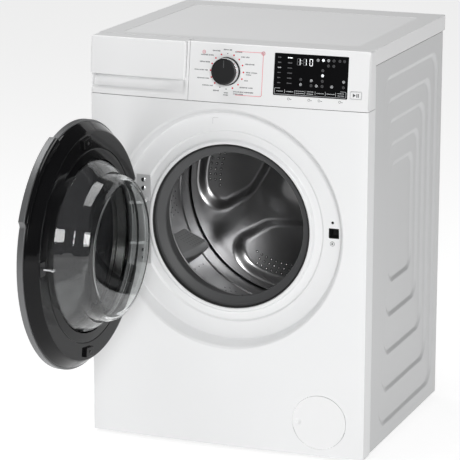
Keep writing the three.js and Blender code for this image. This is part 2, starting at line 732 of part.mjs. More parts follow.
function damperCylinder([x, y]) {
  const tube = post(16, [36, 150], x, y, 14);
  const bore = post(12, [48, 160], x, y, 14);
  const ear = box([x - 10, x + 10], [y - 12, y + 12], [34.5, 44]);
  return cut(join(tube, ear), bore);
}

function damperRod([x, y]) {
  const top = PORT_Z - Math.sqrt(TUB_RADIUS ** 2 - (Math.abs(x) - 9) ** 2) - 1.5;
  const eye = box([x - 9, x + 9], [y - 14, y + 14], [top - 24, top]);
  return join(post(10, [90, top - 10], x, y, 12), eye);
}

function motor() {
  const body = disc(52, [250, 400], 20, MOTOR_X, MOTOR_Z);
  const cap = disc(44, [240, 412], 20, MOTOR_X, MOTOR_Z);
  const foot = box([MOTOR_X - 62, MOTOR_X + 62], [290, 360], [MOTOR_Z + 20, MOTOR_Z + 40]);
  const bore = disc(6.6, [380, 430], 12, MOTOR_X, MOTOR_Z);
  return cut(join(body, cap, foot), bore);
}

const motorPulley = () => join(
  disc(6, [384, BELT_Y[0] + 1], 12, MOTOR_X, MOTOR_Z),
  disc(MOTOR_PULLEY_RADIUS, [BELT_Y[0] - 3, BELT_Y[1] + 2], 16, MOTOR_X, MOTOR_Z),
);

function drumPulley() {
  const [front, back] = BELT_Y;
  const wheel = ring(PULLEY_RADIUS - 12, PULLEY_RADIUS, [front - 2, back + 2], 30);
  const hub = disc(26, [front - 4, back + 3], 24);
  const spokes = [0, 60, 120].map((angle) => {
    const bar = box([-PULLEY_RADIUS + 6, PULLEY_RADIUS - 6], [front + 2, back - 4], [-9, 9]);
    return bar.rotateY(degrees(angle)).translate(0, 0, PORT_Z);
  });
  return cut(join(wheel, hub, ...spokes), disc(SHAFT_RADIUS - 3 + GAP, [450, 520], 20));
}

// Outline of a loop pulled tight round the two pulleys, grown by an amount.
function beltOutline(grow) {
  const [r1, r2] = [PULLEY_RADIUS + grow, MOTOR_PULLEY_RADIUS + grow];
  const [dx, dz] = [MOTOR_X, MOTOR_Z - PORT_Z];
  const heading = Math.atan2(dz, dx);
  const spread = Math.acos((r1 - r2) / Math.hypot(dx, dz));
  const shape = new THREE.Path();
  shape.absarc(0, PORT_Z, r1, heading + spread, heading - spread + 2 * Math.PI, false);
  shape.absarc(MOTOR_X, MOTOR_Z, r2, heading - spread, heading + spread, false);
  return shape.getPoints(14);
}

function driveBelt() {
  const shape = new THREE.Shape(beltOutline(GAP + BELT_THICK));
  shape.holes.push(new THREE.Path(beltOutline(GAP)));
  return alongY(shape, BELT_Y);
}

function drumShell() {
  const inner = DRUM_RADIUS - DRUM_WALL;
  return turned([
    [DRUM_MOUTH, DRUM_FRONT - 2], [DRUM_MOUTH + 6, DRUM_FRONT - 5], [DRUM_MOUTH + 14, DRUM_FRONT],
    [228, DRUM_FRONT + 6], [DRUM_RADIUS, DRUM_FRONT + 24], [DRUM_RADIUS, DRUM_REAR],
    [inner, DRUM_REAR], [inner, DRUM_FRONT + 25], [226, DRUM_FRONT + 8],
    [DRUM_MOUTH + 13, DRUM_FRONT + 2], [DRUM_MOUTH, DRUM_FRONT + 1],
  ], 40);
}

function drumBack() {
  const edge = DRUM_RADIUS - DRUM_WALL - 0.35;
  const front = [[0, 421], [60, 426], [215, 424], [edge - 3, 414], [edge, 414], [edge, 430]];
  const rear = [[edge - DRUM_WALL, 430], [edge - DRUM_WALL, 415.2], [edge - 2.4, 415.2],
    [215.5, 425.2], [60, 427.2], [0, 422.2]];
  return turned([...front, ...rear], 40);
}

function lifter(angle) {
  const seat = DRUM_RADIUS - DRUM_WALL - 0.5;
  const section = polygon([[-34, -4], [-24, -22], [-9, -46], [9, -46], [24, -22], [34, -4]]);
  const blade = alongY(section, [150, 405]).translate(0, 0, seat);
  const curve = disc(seat, [100, 440], 60, 0, 0);
  return meet(blade, curve).rotateY(degrees(90 - angle)).translate(0, 0, PORT_Z);
}

function drumSpider() {
  const hub = disc(40, [434, 449], 24);
  const arms = LIFTER_ANGLES.map((angle) => {
    const arm = box([-17, 17], [430.4, 444], [20, DRUM_RADIUS - 4]);
    return arm.rotateY(degrees(90 - angle)).translate(0, 0, PORT_Z);
  });
  return cut(join(hub, ...arms), disc(SHAFT_RADIUS + GAP, [400, 460], 20));
}

const drumShaft = () => turned([
  [0, 433], [SHAFT_RADIUS, 433], [SHAFT_RADIUS, BELT_Y[0] - 6], [SHAFT_RADIUS - 3, BELT_Y[0] - 6],
  [SHAFT_RADIUS - 3, BELT_Y[1] + 8], [0, BELT_Y[1] + 8],
], 18);

// ---- Pump and water fittings -------------------------------------------------------------

function filterFlap() {
  const plug = disc(FLAP_RADIUS, [-40, 60], 32, FLAP_X, FLAP_Z);
  const skin = cut(frontBlock([10, 150], 0, 60), frontBlock([0, 170], 3, 80));
  const dimple = new THREE.SphereGeometry(8, 12, 6).translate(FLAP_X - 44.5, bow(160) - 6, FLAP_Z - 1.5);
  return cut(meet(skin, plug), dimple);
}

function pumpFilterCap() {
  const knob = disc(27, [30, 44], 22, FLAP_X, FLAP_Z);
  const grip = box([FLAP_X - 22, FLAP_X + 22], [16, 32], [FLAP_Z - 5, FLAP_Z + 5]);
  const plug = disc(18.6, [42, 96], 16, FLAP_X, FLAP_Z);
  return join(knob, grip, plug);
}

function drainPump() {
  const body = disc(32, [46, 160], 22, FLAP_X, FLAP_Z);
  const coil = box([FLAP_X - 26, FLAP_X + 26], [158, 200], [FLAP_Z - 24, FLAP_Z + 24]);
  const socket = disc(20, [30, 110], 16, FLAP_X, FLAP_Z);
  const inlet = post(13, [FLAP_Z + 20, 124], FLAP_X - 12, 128, 12);
  return cut(join(body, coil, inlet), socket);
}

function sumpHose() {
  const [x, y] = [FLAP_X - 12, 128];
  const low = 125;
  const high = 262;
  const folds = 7;
  const pitch = (high - low) / folds;
  const outer = Array.from({ length: folds }, (_, i) => [
    [14, low + i * pitch], [18, low + (i + 0.5) * pitch],
  ]).flat();
  const profile = [...outer, [14, high], [11, high], [11, low]];
  const points = [...profile, profile[0]].map(([radius, z]) => new THREE.Vector2(radius, z));
  return new THREE.LatheGeometry(points, 12).rotateX(Math.PI / 2).translate(x, y, 0);
}

function inletValve() {
  const body = box([VALVE_X - 27, VALVE_X + 27], [462, 514], [VALVE_Z - 25, VALVE_Z + 25]);
  const spout = disc(13, [500, 536], 16, VALVE_X, VALVE_Z);
  const bore = disc(8, [490, 540], 12, VALVE_X, VALVE_Z);
  return cut(join(body, spout), bore);
}

const drainOutlet = () => ring(10, 14, [BODY_BACK + GAP, BODY_BACK + 19], 20, -240, 640);

function cordGland() {
  const [x, z] = [250, 120];
  const [seat, tip] = [BODY_BACK + GAP, BODY_BACK + 14];
  const body = turned([[0, seat], [16, seat], [16, seat + 3.6], [9, tip], [0, tip]], 20, x, z);
  return cut(body, disc(4, [BODY_BACK + 6, 560], 12, x, z));
}

// ---- Putting it together -----------------------------------------------------------------

place('front_panel', frontPanel(), 'whitePaint');
place('side_panel_left', sidePanel(-1), 'whitePaint');
place('side_panel_right', sidePanel(1), 'whitePaint');
place('back_panel', backPanel(), 'zinc');
place('rear_service_cover', rearCover(), 'zinc');
place('base_frame', baseFrame(), 'zinc');
place('top_brace', topBrace(), 'zinc');
place('worktop_frame', worktopFrame(), 'whitePlastic');
place('worktop_board', worktopBoard(), 'whitePaint');
for (const [name, spot] of Object.entries(FOOT_PLACES)) place(name, foot(spot), 'blackRubber');

place('control_panel', controlPanel(), 'whitePlastic');
place('drawer_surround', drawerSurround(), 'whitePlastic');
place('program_knob', programKnob(), 'blackGloss');
place('start_button', startButton(), 'whitePlastic');
place('display_window', displayWindow(), 'blackGloss');

place('drawer_front', drawerFront(), 'whitePlastic');
place('detergent_tray', detergentTray(), 'whitePlastic');
place('dispenser_housing', dispenserHousing(), 'greyPlastic');

const door = new THREE.Group();
door.position.set(HINGE_X, HINGE_Y, 0);
door.rotation.z = degrees(-DOOR_OPEN_DEG);
machine.add(door);
const leaf = new THREE.Group();
leaf.position.set(-HINGE_X, -HINGE_Y, 0);
door.add(leaf);
place('door_rim', doorRim(), 'greyTrim', leaf);
place('door_outer_cover', doorOuterCover(), 'blackGloss', leaf);
place('door_inner_frame', doorInnerFrame(), 'blackGloss', leaf);
place('door_glass', doorGlass(), 'glass', leaf);
place('door_latch_hook', latchHook(), 'zinc', leaf);
place('door_hinge_pin', hingePin(), 'steel', leaf);
place('door_hinge_bracket', hingeBracket(), 'castAluminium');
place('door_lock', doorLock(), 'blackRubber');

place('door_gasket', doorGasket(), 'rubber');
place('tub_front', tubFront(), 'greyPlastic');
place('tub_rear', tubRear(), 'greyPlastic');
place('counterweight_front', frontCounterweight(), 'concrete');
place('counterweight_top', topCounterweight(), 'concrete');
place('heating_element', heater(), 'steel');
place('drum_bearing', drumBearing(), 'steel');
SPRING_PLACES.forEach((spot, i) => place(`tub_spring_${['left', 'right'][i]}`, spring(spot), 'zinc'));
DAMPER_PLACES.forEach((spot, i) => {
  const side = ['left', 'right'][i];
  place(`damper_cylinder_${side}`, damperCylinder(spot), 'greyPlastic');
  place(`damper_rod_${side}`, damperRod(spot), 'zinc');
});
place('motor', motor(), 'castAluminium');
place('motor_pulley', motorPulley(), 'zinc');
place('drive_belt', driveBelt(), 'blackRubber');

place('drum_shell', drumShell(), 'steel');
place('drum_back', drumBack(), 'steel');
LIFTER_ANGLES.forEach((angle, i) => place(`drum_lifter_${i + 1}`, lifter(angle), 'greyPlastic'));
place('drum_spider', drumSpider(), 'castAluminium');
place('drum_shaft', drumShaft(), 'steel');
place('drum_pulley', drumPulley(), 'castAluminium');

place('filter_flap', filterFlap(), 'whitePlastic');
place('pump_filter_cap', pumpFilterCap(), 'greyPlastic');
place('drain_pump', drainPump(), 'greyPlastic');
place('sump_hose', sumpHose(), 'blackRubber');
place('inlet_valve', inletValve(), 'whitePlastic');
place('drain_outlet', drainOutlet(), 'greyPlastic');
place('cord_gland', cordGland(), 'blackRubber');

machine.updateMatrixWorld(true);
const bounds = new THREE.Box3().setFromObject(machine, true);
machine.position.y = -(bounds.min.y + bounds.max.y) / 2;

export default machine;
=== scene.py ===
"""A front load washing machine with its door open: the looks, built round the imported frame.

Shapes are worked out in millimetres in the machine's own front frame: X = 0 is the middle, Y = 0 is the
front panel at its side edges with +Y to the back, and Z = 0 is the floor. mesh_object() turns them into
metres in the row's frame. The door's pieces are drawn shut and then swung open with swung().
"""

import json
import math
import random

import bmesh
import bpy
import numpy as np
from mathutils import Matrix, Vector
from mathutils.geometry import delaunay_2d_cdt


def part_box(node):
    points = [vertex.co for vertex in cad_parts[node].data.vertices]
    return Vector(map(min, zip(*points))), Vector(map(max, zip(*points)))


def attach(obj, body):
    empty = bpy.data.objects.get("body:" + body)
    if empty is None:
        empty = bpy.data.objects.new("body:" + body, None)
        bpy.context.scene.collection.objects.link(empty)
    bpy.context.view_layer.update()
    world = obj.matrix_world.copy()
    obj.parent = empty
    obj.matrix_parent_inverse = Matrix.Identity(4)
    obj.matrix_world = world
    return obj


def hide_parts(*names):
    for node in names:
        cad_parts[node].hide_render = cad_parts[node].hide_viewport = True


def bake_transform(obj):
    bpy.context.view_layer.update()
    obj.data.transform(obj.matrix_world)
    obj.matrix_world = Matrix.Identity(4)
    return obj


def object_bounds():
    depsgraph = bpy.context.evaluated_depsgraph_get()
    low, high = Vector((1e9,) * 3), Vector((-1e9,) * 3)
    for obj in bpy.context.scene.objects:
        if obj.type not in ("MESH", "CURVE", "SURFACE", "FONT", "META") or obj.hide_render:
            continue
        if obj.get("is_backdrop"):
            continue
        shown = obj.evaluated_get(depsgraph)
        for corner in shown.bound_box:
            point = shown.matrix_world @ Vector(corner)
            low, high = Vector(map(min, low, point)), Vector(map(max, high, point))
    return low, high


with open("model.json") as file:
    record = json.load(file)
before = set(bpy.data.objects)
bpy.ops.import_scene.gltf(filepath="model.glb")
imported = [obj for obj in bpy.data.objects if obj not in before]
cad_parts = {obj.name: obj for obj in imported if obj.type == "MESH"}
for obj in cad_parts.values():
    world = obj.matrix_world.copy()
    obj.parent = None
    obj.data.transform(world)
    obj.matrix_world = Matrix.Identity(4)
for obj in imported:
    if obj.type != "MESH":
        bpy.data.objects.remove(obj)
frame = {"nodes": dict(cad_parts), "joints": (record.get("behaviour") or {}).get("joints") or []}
CAD_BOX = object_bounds()

# ---- Sizes, in millimetres, from the frame where it holds them ------------------------------

MM = 0.001
JOINTS = {joint["name"]: joint for joint in frame["joints"]}
WORKTOP_LOW, WORKTOP_HIGH = (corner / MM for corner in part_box("worktop_frame"))

HALF_WIDTH = WORKTOP_HIGH.x
HEIGHT = WORKTOP_HIGH.z
WORKTOP_BOTTOM = WORKTOP_LOW.z
WORKTOP_BACK = 539
FRONT_Y = WORKTOP_HIGH.y - WORKTOP_BACK
BODY_BACK = 517
FRONT_BOW = 9
CORNER_RADIUS = 4
FRONT_RETURN = 44
SEAM = 0.5

PANEL_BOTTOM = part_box("front_panel")[0].z / MM
FASCIA_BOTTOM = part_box("control_panel")[0].z / MM
FASCIA_LEAN = 13
PORT_Z = JOINTS["drum_spin"]["pos_m"][2] / MM
PORT_FLOOR = 24
MOUTH_FRONT = 19

HINGE = Vector(JOINTS["door_hinge"]["pos_m"]) / MM - Vector((0, FRONT_Y, 0))
DOOR_SHUT = math.radians(JOINTS["door_hinge"]["range_deg"][1])
DOOR_FRONT = -30
DOOR_RADIUS = 250.5
HANDLE_ANGLES = (22, 66)
HANDLE_REACH = 9
HINGE_NOTCH = 21.5

DRUM_RADIUS = 247
DRUM_REAR = 424
SPOKE_ANGLES = (90, 210, 330)

DRAWER_RIGHT = -88
DRAWER_SEAM = -82
DRAWER_BOTTOM = 772
SCOOP_BOTTOM = 742

KNOB_Z = JOINTS["knob_turn"]["pos_m"][2] / MM
KNOB_RADIUS = 29
KNOB_REACH = 21
DISPLAY_X = (100, 255)
DISPLAY_Z = (754, 838)
BUTTON_X = (260, 285)
BUTTON_Z = (755, 771)

FLAP_X = 205.5
FLAP_Z = 79
FLAP_RADIUS = 56.6
LOCK_X = 223.5
LOCK_Z = 472.5


# ---- Camera, floor and light ----------------------------------------------------------------

CAMERA_PLACE = Vector((1.835994, -4.838564, 1.698407))
CAMERA_AZIMUTH = 20.812
CAMERA_ELEVATION = 13.462
CAMERA_ROLL = 0.199
CAMERA_LENS = 202.84


def add_camera():
    azimuth, elevation = math.radians(CAMERA_AZIMUTH), math.radians(CAMERA_ELEVATION)
    back = Vector((
        math.sin(azimuth) * math.cos(elevation),
        -math.cos(azimuth) * math.cos(elevation),
        math.sin(elevation),
    ))
    right = Vector((0, 0, 1)).cross(back).normalized()
    turn = Matrix((right, back.cross(right), back)).transposed()
    turn = turn @ Matrix.Rotation(math.radians(CAMERA_ROLL), 3, "Z")
    data = bpy.data.cameras.new("camera")
    data.lens = CAMERA_LENS
    data.sensor_width = 36
    data.clip_end = 50
    camera = bpy.data.objects.new("camera", data)
    camera.matrix_world = Matrix.Translation(CAMERA_PLACE) @ turn.to_4x4()
    bpy.context.scene.collection.objects.link(camera)
    bpy.context.scene.camera = camera


def add_light(name, place, target, size, power):
    data = bpy.data.lights.new(name, "AREA")
    data.shape = "ELLIPSE"
    data.size, data.size_y = size
    data.energy = power
    light = bpy.data.objects.new(name, data)
    light.location = place
    light.rotation_euler = (Vector(target) - Vector(place)).to_track_quat("-Z", "Y").to_euler()
    bpy.context.scene.collection.objects.link(light)


def add_studio():
    world = bpy.data.worlds.new("studio")
    world.use_nodes = True
    background = world.node_tree.nodes["Background"]
    background.inputs["Color"].default_value = (1, 1, 1, 1)
    background.inputs["Strength"].default_value = 0.08
    bpy.context.scene.world = world
    bpy.context.scene.view_settings.view_transform = "Standard"
    mesh = bpy.data.meshes.new("floor")
    reach = 12
    mesh.from_pydata([(-reach, -reach, 0), (reach, -reach, 0), (reach, reach, 0), (-reach, reach, 0)],
                     [], [(0, 1, 2, 3)])
    floor = bpy.data.objects.new("floor", mesh)
    bpy.context.scene.collection.objects.link(floor)
    look, _, shader = new_look("floor_white")
    shader.inputs["Base Color"].default_value = (0.4, 0.4, 0.4, 1)
    shader.inputs["Roughness"].default_value = 1.0
    shader.inputs["Specular IOR Level"].default_value = 0.0
    shader.inputs["Emission Color"].default_value = (1, 1, 1, 1)
    shader.inputs["Emission Strength"].default_value = 0.8
    mesh.materials.append(look)
    floor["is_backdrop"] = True


# ---- Materials ------------------------------------------------------------------------------


def new_look(name):
    look = bpy.data.materials.new(name)
    look.use_nodes = True
    return look, look.node_tree, look.node_tree.nodes["Principled BSDF"]


def noise(tree, scale, detail=3.0, stretch=(1, 1, 1)):
    """Noise in the piece's own coordinates, scale in turns per metre."""
    place = tree.nodes.new("ShaderNodeTexCoord")
    mapping = tree.nodes.new("ShaderNodeMapping")
    mapping.inputs["Scale"].default_value = stretch
    texture = tree.nodes.new("ShaderNodeTexNoise")
    texture.inputs["Scale"].default_value = scale
    texture.inputs["Detail"].default_value = detail
    tree.links.new(place.outputs["Object"], mapping.inputs["Vector"])
    tree.links.new(mapping.outputs["Vector"], texture.inputs["Vector"])
    return texture.outputs["Fac"]


def spread(tree, value, low, high):
    """value, from about 0.3 to 0.7, spread over low to high."""
    node = tree.nodes.new("ShaderNodeMapRange")
    node.inputs["From Min"].default_value = 0.3
    node.inputs["From Max"].default_value = 0.7
    node.inputs["To Min"].default_value = low
    node.inputs["To Max"].default_value = high
    tree.links.new(value, node.inputs["Value"])
    return node.outputs["Result"]


def blend_colours(tree, value, first, second):
    node = tree.nodes.new("ShaderNodeMix")
    node.data_type = "RGBA"
    node.inputs["A"].default_value = (*first, 1)
    node.inputs["B"].default_value = (*second, 1)
    tree.links.new(value, node.inputs["Factor"])
    return node.outputs["Result"]


def bump(tree, shader, height, strength, distance):
    node = tree.nodes.new("ShaderNodeBump")
    node.inputs["Strength"].default_value = strength
    node.inputs["Distance"].default_value = distance
    tree.links.new(height, node.inputs["Height"])
    tree.links.new(node.outputs["Normal"], shader.inputs["Normal"])


def grained(name, colours, roughness, grain, depth, metallic=0.0, coat=0.0, sheen=0.0, stretch=(1, 1, 1),
            cloud=4.0, specular=0.5):
    """A surface whose colour drifts between two tones, with fine grain in its height and gloss."""
    look, tree, shader = new_look(name)
    drift = spread(tree, noise(tree, cloud, 2.0), 0.0, 1.0)
    fine = noise(tree, grain, 4.0, stretch)
    tree.links.new(blend_colours(tree, drift, *colours), shader.inputs["Base Color"])
    tree.links.new(spread(tree, fine, *roughness), shader.inputs["Roughness"])
    shader.inputs["Metallic"].default_value = metallic
    shader.inputs["Specular IOR Level"].default_value = specular
    shader.inputs["Coat Weight"].default_value = coat
    shader.inputs["Coat Roughness"].default_value = 0.08
    shader.inputs["Sheen Weight"].default_value = sheen
    bump(tree, shader, fine, 0.35, depth)
    return look


def glass_look(name, colour, roughness, drift, ior):
    look, tree, shader = new_look(name)
    shader.inputs["Base Color"].default_value = (*colour, 1)
    shader.inputs["Transmission Weight"].default_value = 1.0
    shader.inputs["IOR"].default_value = ior
    fine = noise(tree, 9.0, 1.0)
    tree.links.new(spread(tree, fine, *roughness), shader.inputs["Roughness"])
    bump(tree, shader, fine, 0.2, drift)
    return look


def glowing(name, colour, strength):
    look, tree, shader = new_look(name)
    shader.inputs["Base Color"].default_value = (*colour, 1)
    shader.inputs["Roughness"].default_value = 0.5
    drift = spread(tree, noise(tree, 60.0), 0.75, 1.0)
    dark = tuple(0.6 * part for part in colour)
    tree.links.new(blend_colours(tree, drift, dark, colour), shader.inputs["Emission Color"])
    shader.inputs["Emission Strength"].default_value = strength
    return look


def make_looks():
    return {
        "paint": grained("white_enamel", ((0.86, 0.865, 0.87), (0.845, 0.85, 0.855)), (0.30, 0.38), 700,
                         0.00002, coat=0.25),
        # The sides are the front's white paint made darker: painted shade for the sides, which get less
        # light.
        "shaded_side_paint": grained("side_enamel_painted_shade", ((0.62, 0.625, 0.63), (0.605, 0.61, 0.615)), (0.32, 0.42), 700,
                              0.00002, coat=0.2),
        "plastic": grained("white_moulding", ((0.87, 0.872, 0.875), (0.855, 0.858, 0.862)), (0.28, 0.36),
                           900, 0.00002),
        "laminate": grained("worktop_white", ((0.85, 0.853, 0.856), (0.835, 0.838, 0.842)), (0.42, 0.52),
                            1400, 0.00004),
        "black": grained("black_gloss_moulding", ((0.004, 0.004, 0.0045), (0.006, 0.006, 0.0065)),
                         (0.07, 0.12), 500, 0.00001, specular=0.2),
        "black_satin": grained("black_satin_moulding", ((0.010, 0.010, 0.011), (0.014, 0.014, 0.015)),
                               (0.28, 0.36), 900, 0.00002),
        "rim": grained("rim_grey_metal", ((0.15, 0.152, 0.155), (0.18, 0.182, 0.185)), (0.3, 0.4), 300,
                       0.00001, metallic=0.4, stretch=(1, 6, 1)),
        # Near-white steel for the perforation domes: a painted highlight, far brighter than the drum steel
        # they are pressed in.
        "dome_highlight_steel": grained("dome_steel_painted_highlight", ((0.95, 0.95, 0.95), (0.98, 0.98, 0.98)), (0.14, 0.2), 300, 0.00001,
                         metallic=0.8),
        "silver": grained("bright_trim", ((0.62, 0.63, 0.64), (0.68, 0.69, 0.70)), (0.18, 0.26), 400,
                          0.00001, metallic=1.0),
        "steel": grained("drum_stainless", ((0.44, 0.44, 0.445), (0.48, 0.48, 0.485)), (0.28, 0.30), 140,
                         0.0000015, metallic=1.0, stretch=(1, 9, 1)),
        # The drum wall is the drum's own steel made darker as painted shade; its higher roughness is real.
        "shaded_wall_steel": grained("drum_wall_stainless_painted_shade", ((0.34, 0.34, 0.345), (0.40, 0.40, 0.405)), (0.34, 0.42),
                              260, 0.00001, metallic=1.0, stretch=(1, 9, 1)),
        "zinc": grained("zinc_plate", ((0.50, 0.51, 0.52), (0.60, 0.61, 0.62)), (0.34, 0.5), 120, 0.00002,
                        metallic=1.0, cloud=22),
        "cast": grained("cast_metal_skin", ((0.40, 0.41, 0.42), (0.48, 0.49, 0.50)), (0.4, 0.55), 500,
                        0.0002, metallic=0.9),
        "hinge": grained("hinge_casting", ((0.62, 0.625, 0.63), (0.68, 0.685, 0.69)), (0.3, 0.4), 500, 0.0001,
                         metallic=0.35),
        "lifter": grained("lifter_moulding", ((0.36, 0.365, 0.37), (0.40, 0.405, 0.41)), (0.36, 0.46), 900,
                          0.00005),
        "rubber": grained("seal_rubber", ((0.060, 0.061, 0.063), (0.075, 0.076, 0.078)), (0.48, 0.6), 1200,
                          0.00004, sheen=0.15),
        "black_rubber": grained("black_rubber_skin", ((0.008, 0.008, 0.008), (0.014, 0.014, 0.014)),
                                (0.55, 0.7), 900, 0.0001),
        "grey": grained("grey_moulding", ((0.16, 0.165, 0.17), (0.19, 0.195, 0.20)), (0.4, 0.52), 900,
                        0.00006),
        "light_grey": grained("pale_grey_moulding", ((0.45, 0.46, 0.47), (0.50, 0.51, 0.52)), (0.4, 0.5),
                              900, 0.00005),
        "concrete": grained("cast_concrete", ((0.28, 0.27, 0.26), (0.42, 0.41, 0.39)), (0.85, 0.95), 160,
                            0.0008, cloud=30),
        "ink_grey": grained("ink_grey", ((0.12, 0.125, 0.13), (0.16, 0.165, 0.17)), (0.5, 0.6), 900, 0.00001),
        "ink_dark": grained("ink_dark", ((0.03, 0.032, 0.035), (0.045, 0.047, 0.05)), (0.5, 0.6), 900,
                            0.00001),
        "ink_pale": grained("ink_pale", ((0.45, 0.46, 0.47), (0.5, 0.51, 0.52)), (0.5, 0.6), 900, 0.00001),
        # A faint grey used as painted shade for the moulded corner mark in the recess.
        "moulded_mark_painted_shade": grained("moulded_mark_painted_shade", ((0.62, 0.625, 0.63), (0.66, 0.665, 0.67)), (0.4, 0.5), 900,
                             0.00001),
        "ink_red": grained("ink_red", ((0.72, 0.012, 0.035), (0.66, 0.012, 0.03)), (0.45, 0.55), 900,
                           0.00001),
        "ink_pink": grained("ink_pink", ((0.82, 0.22, 0.27), (0.80, 0.20, 0.25)), (0.45, 0.55), 900,
                            0.00001),
        "glass": glass_look("clear_glass_body", (0.96, 0.975, 0.97), (0.0, 0.02), 0.0002, 1.42),
        "smoked": glass_look("smoked_glass_body", (0.035, 0.035, 0.037), (0.0, 0.03), 0.0001, 1.3),
        "lit": glowing("display_lit", (0.9, 0.92, 0.94), 0.9),
        "lit_soft": glowing("display_half_lit", (0.45, 0.46, 0.47), 0.5),
        "lit_dim": glowing("display_dim", (0.10, 0.10, 0.105), 0.35),
    }


# ---- Mesh helpers ---------------------------------------------------------------------------


def mesh_object(name, points, faces, smooth_angle=40):
    """An object from points in millimetres in the front frame, welded, closed faces turned outwards."""
    mesh = bpy.data.meshes.new(name)
    mesh.from_pydata([(x * MM, (y + FRONT_Y) * MM, z * MM) for x, y, z in points], [], faces)
    build = bmesh.new()
    build.from_mesh(mesh)
    bmesh.ops.remove_doubles(build, verts=build.verts, dist=2e-6)
    bmesh.ops.dissolve_degenerate(build, edges=build.edges, dist=1e-7)
    bmesh.ops.recalc_face_normals(build, faces=build.faces)
    build.to_mesh(mesh)
    build.free()
    mesh.shade_smooth()
    mesh.set_sharp_from_angle(angle=math.radians(smooth_angle))
    obj = bpy.data.objects.new(name, mesh)
    bpy.context.scene.collection.objects.link(obj)
    return obj


def dressed(obj, look, body, slot=None, replaces=()):
    """Gives a finished piece its look and its body, and hides the CAD nodes it stands for. The slot argument
    is not used.
    """
    obj.data.materials.clear()
    obj.data.materials.append(LOOKS[look])
    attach(obj, body)
    if replaces:
        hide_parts(*replaces)


def softened(obj, width, angle=40, segments=3):
    """Rounds the piece's sharp edges, and keeps its large faces flat in shading."""
    for edge in obj.data.edges:
        edge.use_edge_sharp = False
    bevel = obj.modifiers.new("soft_edges", "BEVEL")
    bevel.width = width * MM
    bevel.segments = segments
    bevel.limit_method = "ANGLE"
    bevel.angle_limit = math.radians(angle)
    even = obj.modifiers.new("even_shading", "WEIGHTED_NORMAL")
    even.weight = 80
    return obj


def thickened(obj, depth, even=True):
    """Gives an open sheet its thickness, on the side away from its normals."""
    solid = obj.modifiers.new("thickness", "SOLIDIFY")
    solid.thickness = depth * MM
    solid.offset = -1
    solid.use_even_offset = even
    return obj


def sheet(name, shape, outwards, depth, edge, angle=50, segments=2, even=True, smooth_angle=40):
    """A sheet with soft edges, from its outside as (points, faces) and the way that it faces."""
    skin = face_out(mesh_object(name, *shape, smooth_angle), outwards)
    return softened(thickened(skin, depth, even), edge, angle, segments)


def face_out(obj, direction):
    """Turns an open sheet so that its area faces the direction."""
    total = Vector((0, 0, 0))
    for polygon in obj.data.polygons:
        total += polygon.normal * polygon.area
    if total.dot(Vector(direction)) < 0:
        obj.data.flip_normals()
    return obj


def rounded(corners, steps=6, closed=True):
    """A path through corners (a, b, radius), each turned by an arc of its radius."""
    path = []
    count = len(corners)
    for i, (a, b, radius) in enumerate(corners):
        here = Vector((a, b))
        if radius == 0 or (not closed and i in (0, count - 1)):
            path.append(here)
            continue
        before = Vector(corners[i - 1][:2]) - here
        after = Vector(corners[(i + 1) % count][:2]) - here
        half = before.angle(after) / 2
        if half > math.pi / 2 - 0.01:
            path.append(here)
            continue
        reach = min(radius / math.tan(half), 0.47 * before.length, 0.47 * after.length)
        start, end = before.normalized() * reach, after.normalized() * reach
        middle = (start + end).normalized() * (reach / math.cos(half))
        hold = 1 + min(0.25, 0.03 * min(before.length, after.length) / reach)
        path.append(here + start * hold)
        sweep = (start - middle).angle_signed(end - middle)
        for k in range(steps + 1):
            path.append(here + middle + Matrix.Rotation(-sweep * k / steps, 2) @ (start - middle))
        path.append(here + end * hold)
    return [tuple(point) for point in path]


def ring_faces(count, steps, closed_ring=True):
    """Quads between `steps` sections of `count` points each, the last joined to the first."""
    faces = []
    spans = count if closed_ring else count - 1
    for s in range(steps):
        t = (s + 1) % steps
        for k in range(spans):
            n = (k + 1) % count
            faces.append((s * count + k, s * count + n, t * count + n, t * count + k))
    return faces


def grid_faces(count, rows, closed=False):
    """Quads between rows of `count` points. Closed joins each row's last point to its first."""
    faces = []
    for row in range(rows - 1):
        base = row * count
        for k in range(count if closed else count - 1):
            n = (k + 1) % count
            faces.append((base + k, base + n, base + count + n, base + count + k))
    return faces


def turned(name, path, steps=180, centre=(0, PORT_Z), closed=True, smooth_angle=40):
    """A solid turned about a line along Y. The path is (radius, y), closed unless it ends on the axis."""
    points = []
    for s in range(steps):
        cosine, sine = math.cos(2 * math.pi * s / steps), math.sin(2 * math.pi * s / steps)
        points += [(centre[0] + radius * cosine, y, centre[1] + radius * sine) for radius, y in path]
    return mesh_object(name, points, ring_faces(len(path), steps, closed), smooth_angle)


def rounded_box(name, x, y, z, radius, segments=3):
    corners = [(a, b, c) for a in x for b in y for c in z]
    faces = [(0, 1, 3, 2), (4, 6, 7, 5), (0, 4, 5, 1), (2, 3, 7, 6), (0, 2, 6, 4), (1, 5, 7, 3)]
    return softened(mesh_object(name, corners, faces), radius, 30, segments)


def joined(name, objects):
    """One object from several, modifiers applied."""
    depsgraph = bpy.context.evaluated_depsgraph_get()
    build = bmesh.new()
    for obj in objects:
        bpy.context.view_layer.update()
        depsgraph.update()
        part = bpy.data.meshes.new_from_object(obj.evaluated_get(depsgraph))
        part.transform(obj.matrix_world)
        build.from_mesh(part)
        bpy.data.meshes.remove(part)
        bpy.data.objects.remove(obj)
    mesh = bpy.data.meshes.new(name)
    build.to_mesh(mesh)
    build.free()
    mesh.shade_smooth()
    mesh.set_sharp_from_angle(angle=math.radians(35))
    whole = bpy.data.objects.new(name, mesh)
    bpy.context.scene.collection.objects.link(whole)
    return whole


def inside(points, loop):
    """Which of the points lie inside the closed loop."""
    x, y = points[:, 0], points[:, 1]
    found = np.zeros(len(points), bool)
    ends = np.array(loop)
    starts = np.roll(ends, 1, axis=0)
    for (x0, y0), (x1, y1) in zip(starts, ends):
        if y0 == y1:
            continue
        crosses = (y0 > y) != (y1 > y)
        found ^= crosses & (x < (x1 - x0) * (y - y0) / (y1 - y0) + x0)
    return found


